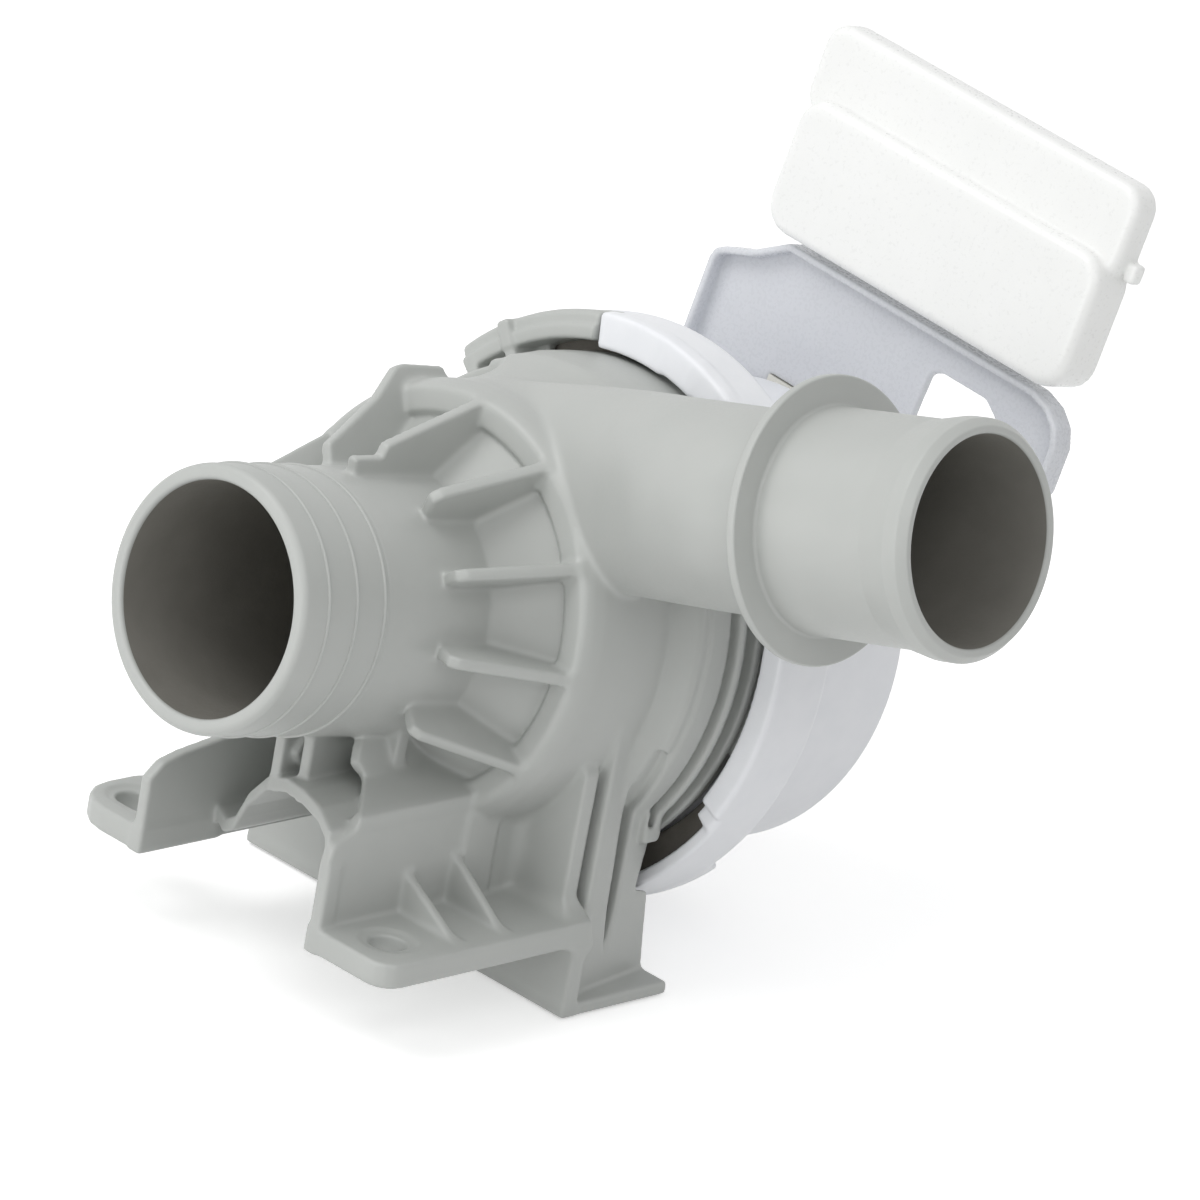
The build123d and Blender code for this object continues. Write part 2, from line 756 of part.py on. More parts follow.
# Cover tray: plate with a turned rim, a window and a seat around the terminal block
tray_back = tray_front + tray_thickness
tray_outline = [
    (tray_left, tray_left_low), (tray_left, tray_left_high), *tray_left_corner,
    (tray_top_left, tray_top), (tray_top_right, tray_top), *tray_right_corner,
    (tray_right, tray_right_high), (tray_right, tray_right_low), *tray_lower_outline,
]
cover_tray = front_plate_of(tray_outline, tray_front, tray_back)
cover_tray += box_between(
    tray_top_left, tray_top_right, tray_front - tray_rim_depth, tray_back, tray_top - tray_rim_thickness, tray_top
)
cover_tray += box_between(
    tray_right - tray_rim_thickness, tray_right, tray_front - tray_rim_depth, tray_back,
    tray_right_low, tray_right_high,
)
cover_tray += box_between(
    tray_left, tray_left + tray_rim_thickness, tray_front - tray_rim_depth, tray_back,
    tray_left_low, tray_left_high,
)
cover_tray += box_between(hinge_from, hinge_to, tray_back - hinge_lip, tray_back,
                          tray_top - hinge_lip, hinge_z - hinge_gap / 2)
cover_tray -= front_plate_of(tray_window_outline, tray_front - cut_margin, tray_back + cut_margin)
cover_tray -= box_between(
    block_x - block_width / 2 - fit_gap, block_x + block_width / 2 + fit_gap, tray_front - cut_margin,
    tray_back + cut_margin, block_z - block_height / 2 - fit_gap, block_z + block_height / 2 + fit_gap,
)

# Cover lid: a stepped box, deep beside the hinge
lid_shell = box_between(lid_left, lid_right, lid_rim_back - lid_deep, lid_rim_back, lid_bottom, lid_step)
lid_shell = fillet(lid_shell.edges().filter_by(Axis.Y).sort_by(Axis.Z)[:2], lid_edge_r)
lid_shell += box_between(
    lid_left_high, lid_right, lid_rim_back - lid_shallow, lid_rim_back, lid_step - lid_wall, lid_top
)
lid_hollow = box_between(
    lid_left + lid_wall, lid_right - lid_wall, lid_rim_back - lid_deep + lid_wall, lid_rim_back + cut_margin,
    lid_bottom + lid_wall, lid_step - lid_wall,
)
lid_hollow = fillet(lid_hollow.edges().filter_by(Axis.Y).sort_by(Axis.Z)[:2], lid_edge_r - lid_wall)
lid_hollow += box_between(
    lid_left_high + lid_wall, lid_right - lid_wall, lid_rim_back - lid_shallow + lid_wall,
    lid_rim_back + cut_margin, lid_step, lid_top - lid_wall,
)
lid_hollow += box_between(
    lid_left + lid_wall, lid_right - lid_wall, lid_rim_back - lid_shallow + lid_wall,
    lid_rim_back + cut_margin, lid_step - 2 * lid_wall, lid_step + lid_wall,
)
cover_lid = lid_shell - lid_hollow
cover_lid += box_between(
    lid_right - fit_gap, lid_right + lid_tab_width, lid_tab_front, lid_rim_back,
    lid_tab_z - lid_tab_height / 2, lid_tab_z + lid_tab_height / 2,
)
cover_lid += box_between(hinge_from, hinge_to, lid_rim_back - hinge_lip, lid_rim_back,
                         hinge_z + hinge_gap / 2, lid_bottom + lid_wall)

# The slots for the pins are cut through the barrel's end in the cover's directions
motor_row = pump_frame * motor_housing
for slot in pin_slots:
    motor_row -= cover_frame * slot



def group(frame, solids):
    """Separate solids of one kind, each moved to its place."""
    return Compound(children=[frame * solid for solid in solids])


pieces = {
    "volute_casing": volute_casing,
    "front_plate": pump_frame * front_plate,
    "body_seal": pump_frame * body_seal,
    "rotor_can": pump_frame * rotor_can,
    "front_bush_holder": pump_frame * front_holder,
    "front_bush": pump_frame * front_bush,
    "rear_bush_holder": pump_frame * rear_holder,
    "rear_bush": pump_frame * rear_bush,
    "rotor_shaft": pump_frame * rotor_shaft,
    "magnet_carrier": pump_frame * magnet_carrier,
    "rotor_magnet": pump_frame * rotor_magnet,
    "thrust_washers": group(pump_frame, [front_washer, rear_washer]),
    "impeller": pump_frame * impeller,
    "impeller_cap": pump_frame * impeller_cap,
    "stator_core": pump_frame * stator_core,
    "coil_bobbins": group(pump_frame, bobbins),
    "coil_windings": group(pump_frame, coils),
    "wiring_board": pump_frame * wiring_board,
    "motor_housing": motor_row,
    "terminal_block": cover_frame * block_parts,
    "terminal_pins": group(cover_frame, terminal_pins),
    "cover_tray": cover_frame * cover_tray,
    "cover_lid": cover_frame * cover_lid,
}
for name, piece in pieces.items():
    export_step(piece, f"parts/{name}.step")
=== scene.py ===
import json
from math import atan2, ceil, cos, pi, radians, sin

import bpy
import numpy as np
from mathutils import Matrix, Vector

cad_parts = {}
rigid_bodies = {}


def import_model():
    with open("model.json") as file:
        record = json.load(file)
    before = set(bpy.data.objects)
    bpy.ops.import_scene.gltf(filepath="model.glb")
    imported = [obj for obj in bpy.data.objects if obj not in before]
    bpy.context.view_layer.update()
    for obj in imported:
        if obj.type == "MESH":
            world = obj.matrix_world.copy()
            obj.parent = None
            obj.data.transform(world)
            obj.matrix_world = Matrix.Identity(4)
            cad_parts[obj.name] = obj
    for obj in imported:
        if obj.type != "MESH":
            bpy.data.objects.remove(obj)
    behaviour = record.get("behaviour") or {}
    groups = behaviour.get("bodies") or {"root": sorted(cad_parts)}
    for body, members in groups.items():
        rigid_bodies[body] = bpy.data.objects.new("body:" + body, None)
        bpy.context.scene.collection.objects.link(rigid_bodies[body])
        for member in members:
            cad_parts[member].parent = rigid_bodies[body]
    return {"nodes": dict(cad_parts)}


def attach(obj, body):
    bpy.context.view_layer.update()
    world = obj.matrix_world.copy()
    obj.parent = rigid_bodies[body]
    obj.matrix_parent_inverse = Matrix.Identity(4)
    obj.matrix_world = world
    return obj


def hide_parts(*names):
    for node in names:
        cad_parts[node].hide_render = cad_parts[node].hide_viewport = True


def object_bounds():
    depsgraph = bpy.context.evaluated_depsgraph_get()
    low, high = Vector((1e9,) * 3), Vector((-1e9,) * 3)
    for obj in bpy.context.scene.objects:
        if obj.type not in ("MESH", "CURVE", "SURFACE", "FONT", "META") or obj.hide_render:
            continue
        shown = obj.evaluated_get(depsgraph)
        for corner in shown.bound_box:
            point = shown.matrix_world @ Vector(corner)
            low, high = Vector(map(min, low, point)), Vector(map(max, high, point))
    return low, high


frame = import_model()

import openvdb
from mathutils import Matrix, Vector

for name in ("Cube", "Light", "Camera"):
    if name in bpy.data.objects:
        bpy.data.objects.remove(bpy.data.objects[name])
cad_low, cad_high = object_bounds()
nodes = frame["nodes"]

MM = 0.001


# Directions of the three groups of pieces: the level feet, the dipped pump and the connector cover

def about_x(angle):
    c, s = cos(radians(angle)), sin(radians(angle))
    return np.array([[1, 0, 0], [0, c, -s], [0, s, c]])


def about_y(angle):
    c, s = cos(radians(angle)), sin(radians(angle))
    return np.array([[c, 0, s], [0, 1, 0], [-s, 0, c]])


LEVEL = np.eye(3)
PUMP = about_x(-8.7) @ about_y(-14.6)
COVER = about_x(-8.7) @ about_y(5.0)


# Distance fields: a moulded piece is built on a grid of distances to its surface, so that its walls
# run into each other with the small fillets and its edges have the soft radius of a moulding

def soft_min(a, b, reach):
    """The smaller of two distances, with a fillet of about this reach where they meet."""
    if reach <= 0:
        return np.minimum(a, b)
    near = np.maximum(reach - np.abs(a - b), 0) / reach
    return np.minimum(a, b) - near * near * (reach / 4)


def outline(points):
    """Signed distance to a closed flat outline, as a function of two coordinates."""
    corners = [(float(a), float(b)) for a, b in points]

    def distance(u, v):
        best, inside = None, None
        for (ax, ay), (bx, by) in zip(corners, corners[1:] + corners[:1]):
            ex, ey = bx - ax, by - ay
            wx, wy = u - ax, v - ay
            along = np.clip((wx * ex + wy * ey) / (ex * ex + ey * ey), 0, 1)
            dx, dy = wx - ex * along, wy - ey * along
            square = dx * dx + dy * dy
            best = square if best is None else np.minimum(best, square)
            if ey != 0:
                crossed = ((ay > v) != (by > v)) & (wx < wy * (ex / ey))
                inside = crossed if inside is None else inside ^ crossed
        return np.where(inside, -1.0, 1.0) * np.sqrt(best)

    return distance


def between(flat, along, start, stop):
    """A flat outline's distance carried from one station to another."""
    side = np.abs(along - (start + stop) / 2) - (stop - start) / 2
    return np.minimum(np.maximum(flat, side), 0) + np.sqrt(np.maximum(flat, 0) ** 2 + np.maximum(side, 0) ** 2)


def turned(points, margin=7.0, fine=0.1):
    """A solid turned about the second axis, read from a fine table of its profile's distances."""
    shape = outline(points)
    top = max(r for r, _ in points) + margin
    first = min(y for _, y in points) - margin
    last = max(y for _, y in points) + margin
    rs = np.arange(0, top + 2 * fine, fine)
    ys = np.arange(first, last + 2 * fine, fine)
    table = shape(rs[:, None], ys[None, :]).astype(np.float32)

    def distance(x, y, z):
        r = np.sqrt(x * x + z * z)
        i = np.clip(r / fine, 0, len(rs) - 1.001)
        j = np.clip((y - first) / fine, 0, len(ys) - 1.001)
        i, j = np.broadcast_arrays(i, j)
        i0, j0 = i.astype(np.int32), j.astype(np.int32)
        fi, fj = i - i0, j - j0
        low = table[i0, j0] * (1 - fj) + table[i0, j0 + 1] * fj
        high = table[i0 + 1, j0] * (1 - fj) + table[i0 + 1, j0 + 1] * fj
        return low * (1 - fi) + high * fi

    return distance


def sector(shape, start, stop):
    """A turned solid kept only from one angle to another, counted from the outlet upward."""
    a, b = radians(start), radians(stop)

    def distance(x, y, z):
        from_start = x * sin(a) - z * cos(a)
        to_stop = z * cos(b) - x * sin(b)
        span = np.maximum(from_start, to_stop) if stop - start <= 180 else np.minimum(from_start, to_stop)
        return np.maximum(shape(x, y, z), span)

    return distance


def ring_profile(outer, inner, front, back):
    return [(inner, front), (outer, front), (outer, back), (inner, back)]


def meridian(points, thickness, angle):
    """A plate that holds the pump axis in its plane, outlined by (radius, station) points."""
    shape = outline(points)
    c, s = cos(radians(angle)), sin(radians(angle))

    def distance(x, y, z):
        return between(shape(x * c + z * s, y), z * c - x * s, -thickness / 2, thickness / 2)

    return distance


def block(low, high, corner=0.0):
    """A box from its lower to its upper corner, with rounded edges."""
    centre = [(a + b) / 2 for a, b in zip(low, high)]
    half = [(b - a) / 2 - corner for a, b in zip(low, high)]

    def distance(x, y, z):
        q = [np.abs(p - c) - h for p, c, h in zip((x, y, z), centre, half)]
        outside = np.sqrt(sum(np.maximum(v, 0) ** 2 for v in q))
        inside = np.minimum(np.maximum(np.maximum(q[0], q[1]), q[2]), 0)
        return outside + inside - corner

    return distance


def prism(points, normal, start, stop):
    """An outline carried along x, y or z; its points give the two other coordinates in order."""
    shape = outline(points)

    def distance(x, y, z):
        flat = {"x": (y, z), "y": (x, z), "z": (x, y)}[normal]
        return between(shape(*flat), {"x": x, "y": y, "z": z}[normal], start, stop)

    return distance


class Field:
    """A grid of distances in millimetres, on which a moulding is joined and cut."""

    def __init__(self, low, high, step):
        self.step = step
        self.axes = [np.arange(a, b + step, step, dtype=np.float32) for a, b in zip(low, high)]
        self.values = np.full([len(axis) for axis in self.axes], 9.0, np.float32)

    def around(self, low, high, turn, reach):
        """The part of the grid near a box, and its points in the box's own directions."""
        corners = np.array([[(low, high)[i][0], (low, high)[j][1], (low, high)[k][2]]
                            for i in (0, 1) for j in (0, 1) for k in (0, 1)]) @ turn.T
        index = []
        for axis, a, b in zip(self.axes, corners.min(0) - reach, corners.max(0) + reach):
            first = int(np.clip((a - axis[0]) / self.step, 0, len(axis)))
            last = int(np.clip(ceil((b - axis[0]) / self.step) + 1, 0, len(axis)))
            index.append(slice(first, last))
        x, y, z = np.meshgrid(*[axis[s] for axis, s in zip(self.axes, index)], indexing="ij", sparse=True)
        if turn is LEVEL:
            return tuple(index), x, y, z
        return (tuple(index), *[(turn[0, i] * x + turn[1, i] * y + turn[2, i] * z).astype(np.float32)
                                for i in range(3)])

    def join(self, shape, low, high, turn=LEVEL, soft=0.0):
        index, x, y, z = self.around(low, high, turn, soft + 4 * self.step)
        self.values[index] = soft_min(self.values[index], shape(x, y, z), soft)

    def cut(self, shape, low, high, turn=LEVEL, soft=0.0):
        index, x, y, z = self.around(low, high, turn, soft + 4 * self.step)
        self.values[index] = -soft_min(-self.values[index], shape(x, y, z), soft)

    def box(self, low, high, turn=LEVEL, soft=0.0, corner=0.0):
        self.join(block(low, high, corner), low, high, turn, soft)

    def soften(self, times=1):
        """Rounds every edge a little, as the mould's own radius does."""
        v = self.values
        np.clip(v, -6 * self.step, 6 * self.step, out=v)
        for _ in range(times):
            for axis in range(3):
                middle = [slice(None)] * 3
                before, after = list(middle), list(middle)
                middle[axis], before[axis], after[axis] = slice(1, -1), slice(0, -2), slice(2, None)
                v[tuple(middle)] = (v[tuple(before)] + 2 * v[tuple(middle)] + v[tuple(after)]) / 4

    def sample(self, points):
        """The field's value at points given in grid steps."""
        top = np.array(self.values.shape) - 1.001
        p = np.clip(points, 0, top)
        i = p.astype(np.int64)
        f = p - i
        total = np.zeros(len(points))
        for a in (0, 1):
            for b in (0, 1):
                for c in (0, 1):
                    weight = (np.where(a, f[:, 0], 1 - f[:, 0]) * np.where(b, f[:, 1], 1 - f[:, 1])
                              * np.where(c, f[:, 2], 1 - f[:, 2]))
                    total += weight * self.values[i[:, 0] + a, i[:, 1] + b, i[:, 2] + c]
        return total

    def slope(self, points):
        """The field's own slope at points given in grid steps."""
        slope = np.stack([self.sample(points + 0.6 * np.eye(3)[k]) - self.sample(points - 0.6 * np.eye(3)[k])
                          for k in range(3)], 1)
        return slope / np.maximum(np.linalg.norm(slope, axis=1), 1e-9)[:, None]

    def piece(self, name, turn=LEVEL, limit=150000):
        """The surface as a mesh, thinned to a number of triangles and shaded by the field's own slope."""
        grid = openvdb.FloatGrid(4 * self.step)
        grid.copyFromArray(np.clip(self.values, -4 * self.step, 4 * self.step))
        points, _, quads = grid.convertToPolygons(isovalue=0.0, adaptivity=0.0)
        points, quads = np.asarray(points, float), np.asarray(quads, np.int64)
        a, b, c = (points[quads[:, k]] for k in range(3))
        if np.sum(np.cross(b - a, c - a) * self.slope(a)) < 0:
            quads = quads[:, ::-1]
        mesh = bpy.data.meshes.new(name)
        mesh.from_pydata(points.tolist(), [], quads.tolist())
        piece = add_object(name, mesh)
        thin = piece.modifiers.new("thin", "DECIMATE")
        thin.ratio = min(1.0, limit / (2 * len(quads)))
        mesh = bpy.data.meshes.new_from_object(piece.evaluated_get(bpy.context.evaluated_depsgraph_get()))
        piece.modifiers.remove(thin)
        piece.data = mesh
        co = np.empty(len(mesh.vertices) * 3)
        mesh.vertices.foreach_get("co", co)
        co = co.reshape(-1, 3)
        normals = self.slope(co) @ turn.T
        low = np.array([axis[0] for axis in self.axes])
        mesh.vertices.foreach_set("co", (((low + co * self.step) @ turn.T) * MM).ravel())
        mesh.update()
        mesh.polygons.foreach_set("use_smooth", np.ones(len(mesh.polygons), bool))
        mesh.normals_split_custom_set_from_vertices(normals.tolist())
        return piece


def add_object(name, mesh):
    piece = bpy.data.objects.new(name, mesh)
    bpy.context.scene.collection.objects.link(piece)
    return piece


def rounded(corners, steps=4):
    """A closed outline whose corners (u, v, radius) are rounded."""
    count = len(corners)
    points = []
    for k, (x, y, radius) in enumerate(corners):
        here = Vector((x, y))
        back = Vector(corners[k - 1][:2]) - here
        on = Vector(corners[(k + 1) % count][:2]) - here
        if radius <= 0:
            points.append((x, y))
            continue
        angle = back.angle(on)
        length = min(radius / np.tan(angle / 2), 0.49 * back.length, 0.49 * on.length)
        radius = length * np.tan(angle / 2)
        centre = here + (back.normalized() + on.normalized()).normalized() * (radius / sin(angle / 2))
        first = here + back.normalized() * length - centre
        last = here + on.normalized() * length - centre
        start, sweep = atan2(first.y, first.x), first.angle_signed(last)
        for step in range(steps + 1):
            turn = start - sweep * step / steps
            points.append((centre.x + radius * cos(turn), centre.y + radius * sin(turn)))
    return points


def spun(name, profile, place, segments=180):
    """A closed shell of revolution from (radius, station) points; place gives a point from station, radius, angle."""
    profile = np.array(profile)
    angles = np.arange(segments) * 2 * pi / segments
    points = [place(y, r, a) for r, y in profile for a in angles]
    count = len(profile)
    faces = []
    for i in range(count):
        j = (i + 1) % count
        for k in range(segments):
            m = (k + 1) % segments
            faces.append((i * segments + k, i * segments + m, j * segments + m, j * segments + k))
    mesh = bpy.data.meshes.new(name)
    mesh.from_pydata([tuple(np.array(p) * MM) for p in points], [], faces)
    outward(mesh)
    for polygon in mesh.polygons:
        polygon.use_smooth = True
    mesh.set_sharp_from_angle(angle=radians(32))
    return add_object(name, mesh)


def outward(mesh):
    """Turns a closed mesh's faces outward."""
    mesh.update()
    mesh.calc_loop_triangles()
    co = np.empty(len(mesh.vertices) * 3)
    mesh.vertices.foreach_get("co", co)
    co = co.reshape(-1, 3)
    tri = np.empty(len(mesh.loop_triangles) * 3, int)
    mesh.loop_triangles.foreach_get("vertices", tri)
    a, b, c = (co[tri.reshape(-1, 3)[:, k]] for k in range(3))
    if np.sum(a * np.cross(b, c)) < 0:
        mesh.flip_normals()


def about_pump(station, radius, angle):
    return PUMP @ np.array([radius * cos(angle), station, radius * sin(angle)])


def about_outlet(station, radius, angle):
    return PUMP @ np.array([station, OUTLET_Y + radius * cos(angle), OUTLET_Z + radius * sin(angle)])


# Volute casing: body, cone with ribs, rim, outlet neck, rear flange, hook arch and feet

BIG = -60.0                             # stands for the far side of the axis in a turned profile
OUTLET_Y, OUTLET_Z = 50.65, 20.1        # the outlet's axis, which runs along the pump's own x
RIM, FLANGE, FLANGE_BACK = 33.9, 37.6, 84.0
SHELL, CAN_ROOM = 31.0, 35.4            # the chamber's radius, and that of the wider room behind it
FOOT_LOW, FOOT_TOP = -50.7, -46.7
FOOT_FRONT, FOOT_SIDE = 13.6, 35.6
BASE_LOW, BASE_TOP = -62.7, -60.4       # rear plate
WALL_IN, WALL_OUT = 18.5, 20.7          # the foot walls' two faces, from the middle
CROSS_FRONT, CROSS_BACK = 54.0, 57.0
SCREW_X, SCREW_Y, SCREW_HOLE = 27.7, 21.4, 2.75
SLOT_FLOOR, SLOT_RADIUS = 25.0, 36.5    # how near the side slots come to the middle and to the pump axis
RING_FRONT, TURNING_ROOM = 77.0, 46.2   # where the motor housing's ring turns
RING, SEAT, BARREL, BARREL_BACK = 45.4, 86.5, 36.4, 117.8
STEP = 0.4
LUGS = ((-30, 10), (40, 70), (150, 190), (220, 250))
WEBS = ((109.6, 112.8), (121.4, 124.6))
ARCH = [(40.7, 77.2), (43.0, 77.2), (43.1, 78.0), (44.6, 78.0), (45.3, 78.8), (45.3, 86.2), (40.7, 86.2)]


def neck(wall, first):
    """The outlet neck's oval, which grows forward out of the volute and leaves its top without a step."""
    stations = (0.0, 10.0, 18.0, 33.0, 46.0, 60.0, 75.0)
    fronts = (51.0, 50.4, 49.2, 45.2, 39.2, 35.45, 35.45)
    fine = np.arange(0.0, 75.01, 0.25)
    line = np.interp(fine, stations, fronts)
    kernel = np.ones(25) / 25
    line = np.convolve(np.pad(line, 12, mode="edge"), kernel, mode="valid")
    back = 65.85 - wall

    def distance(x, y, z):
        front = np.interp(x, fine, line) + wall
        half = (back - front) / 2
        u, v = y - (back - half), z - OUTLET_Z
        a, b = half, np.interp(x, (0.0, 8.0, 20.0, 34.0), (13.7, 14.3, 14.9, 15.2)) - wall
        k0 = np.sqrt((u / a) ** 2 + (v / b) ** 2)
        k1 = np.sqrt((u / (a * a)) ** 2 + (v / (b * b)) ** 2) + 1e-6
        return np.maximum(k0 * (k0 - 1) / k1, np.maximum(first - x, x - 73.4))

    return distance


def side_block(front, side):
    """The block behind the cross wall, whose outer face runs inward to the rear."""
    def distance(x, y, z):
        rise = np.clip((z - BASE_TOP) / 35.4, 0, 1)
        face = 32.8 - 0.16 * (y - 58.8)
        back = 76.6 - 6.0 * rise
        return np.maximum(np.maximum(np.maximum(0.9 * (side * x - face), 12.0 - side * x),
                                     np.maximum(front - y, y - back)), np.maximum(BASE_LOW - z, z + 16.0))

    return distance


SLOT_WEDGE = prism([(63.2, -20.0), (66.2, -20.0), (66.2, -30.0), (65.8, -48.0), (65.2, -55.0), (64.2, -48.0),
                    (63.5, -30.0)], "x", -36.0, 36.0)


def side_slot(x, y, z):
    """The tapering slot of both side blocks, which stops short of the flange's wall."""
    radius = np.sqrt(x * x + y * y + z * z - (PUMP[1, 1] * y + PUMP[2, 1] * z) ** 2)
    return np.maximum(np.maximum(SLOT_WEDGE(x, y, z), SLOT_FLOOR - np.abs(x)), SLOT_RADIUS - radius)


def slot_room(side):
    """The part of the grid that one side's slot lies in."""
    xs = sorted((side * 24.0, side * 36.0))
    return (xs[0], 63, -56), (xs[1], 67, -19)


def build_feet(low, high):
    """The level feet: plates, walls, web, roof, cross wall and rear blocks, cut where the motor's ring turns."""
    feet = Field(low, high, STEP)
    foot = rounded([(WALL_IN, FOOT_FRONT, 0), (FOOT_SIDE, FOOT_FRONT, 4.0), (FOOT_SIDE, CROSS_BACK, 0.6),
                    (WALL_IN, CROSS_BACK, 0)])
    feet.join(prism(foot, "z", FOOT_LOW, FOOT_TOP), (18, 13, -51), (36, 58, -46))
    foot = rounded([(-FOOT_SIDE, FOOT_FRONT, 8.0), (-WALL_IN, FOOT_FRONT, 0), (-WALL_IN, 30.0, 0),
                    (-FOOT_SIDE, 30.0, 3.0)])
    feet.join(prism(foot, "z", FOOT_LOW, FOOT_TOP), (-36, 13, -51), (-18, 31, -46))

    right_wall = rounded([(FOOT_FRONT, FOOT_LOW, 0), (FOOT_FRONT, -36.0, 2.0), (14.2, -33.4, 1.2), (16.2, -32.4, 1.5),
                          (18.2, -31.3, 0.8), (19.2, -29.6, 0.4), (55.0, -29.6, 0), (55.0, FOOT_LOW, 0)])
    feet.join(prism(right_wall, "x", WALL_IN, WALL_OUT), (18, 13, -51), (21, 56, -29), soft=0.9)
    roof = prism([(WALL_OUT, -31.6), (WALL_OUT, -29.6), (19.8, -29.0), (6.0, -23.8), (6.0, -26.0)], "y", 18.2,
                 CROSS_BACK)
    feet.join(lambda x, y, z: np.maximum(roof(x, y, z), 0.714 * (18.2 - y) + 0.7 * (WALL_OUT - x)),
              (5, 17, -32), (21, 58, -23), soft=0.5)
    feet.box((5.0, 31.5, -27.6), (13.5, 34.0, -18.0), soft=0.6)
    left_wall = [(FOOT_FRONT, FOOT_LOW), (FOOT_FRONT, -38.6), (16.2, -36.2), (20.0, -35.2), (27.0, -34.2),
                 (36.0, -31.0), (45.0, -20.0), (55.0, -20.0), (55.0, FOOT_LOW)]
    feet.join(prism(left_wall, "x", -WALL_OUT, -WALL_IN), (-21, 13, -51), (-18, 56, -19), soft=0.9)
    cross = [(-FOOT_SIDE, BASE_LOW), (FOOT_SIDE, BASE_LOW), (FOOT_SIDE, FOOT_LOW), (33.4, -47.6), (31.6, -44.0),
             (31.8, -24.0), (22.0, -14.0), (-22.0, -14.0), (-31.8, -24.0), (-31.6, -44.0), (-33.4, -47.6),
             (-FOOT_SIDE, FOOT_LOW)]
    feet.join(prism(cross, "y", CROSS_FRONT, CROSS_BACK), (-36, 53, -63), (36, 58, -13), soft=3.0)

    # rear plate and the blocks that stand on it, each parted by a narrow tapering slot
    for side in (1, -1):
        xs = sorted((side * 10.0, side * FOOT_SIDE))
        feet.box((xs[0], CROSS_FRONT, BASE_LOW), (xs[1], 76.8, BASE_TOP), soft=0.6, corner=0.3)
        reach = sorted((side * 12.0, side * 36.0))
        feet.join(side_block(58.3, side), (reach[0], 58, -63), (reach[1], 77, -16), soft=0.5)
        tab = sorted((side * 26.0, side * 32.6))
        feet.box((tab[0], 68.5, -37.6), (tab[1], 73.0, -32.2), soft=0.4, corner=0.4)
        feet.cut(side_slot, *slot_room(side), soft=0.3)
        feet.box((min(side * 12.0, side * 33.0), 56.0, BASE_LOW), (max(side * 12.0, side * 33.0), 59.5, -47.4),
                 soft=0.4)

    # gussets, the raised panel behind them, and the pillar on the cross wall
    for station, height in ((31.0, 7.0), (40.6, 8.6)):
        feet.join(prism([(19.6, -47.7), (34.4, -47.7), (19.6, FOOT_TOP + height)], "y", station - 0.8, station + 0.8),
                  (19, station - 1, -48), (35, station + 1, -37), soft=1.0)
    feet.box((19.0, 41.5, -46.9), (21.3, 48.6, -32.6), soft=0.6, corner=0.5)
    feet.box((19.6, FOOT_FRONT, -49.0), (21.0, 16.6, -36.5), soft=0.4, corner=0.3)

    # wavy web between the walls, its front cut on a slant
    line = ((-19.0, -46.0), (-15.2, -47.0), (-12.0, -45.0), (-8.8, -39.6), (-3.4, -34.4), (3.0, -31.8), (9.0, -30.9),
            (15.0, -30.9), (19.4, -32.6))
    web = [(x, z + 1.2) for x, z in line] + [(x, z - 1.2) for x, z in reversed(line)]
    web = prism(web, "y", 13.8, CROSS_BACK)
    slant = outline([(-22.0, 5.0), (22.0, 5.0), (22.0, 13.0), (19.6, 13.8), (-19.6, 29.0), (-22.0, 29.9)])
    feet.join(lambda x, y, z: np.maximum(web(x, y, z), -slant(x, y)), (-20, 13, -49), (20, 58, -29), soft=0.8)
    for start, stop in ((-2.6, -0.4), (3.2, 5.4)):
        feet.box((start, 22.0, -34.4), (stop, 40.0, -18.0), soft=0.6)
    feet.cut(turned(ring_profile(TURNING_ROOM, BIG, RING_FRONT, 118.0)), (-46.5, 76.5, -46.5), (46.5, 92.0, 46.5), PUMP)
    return feet


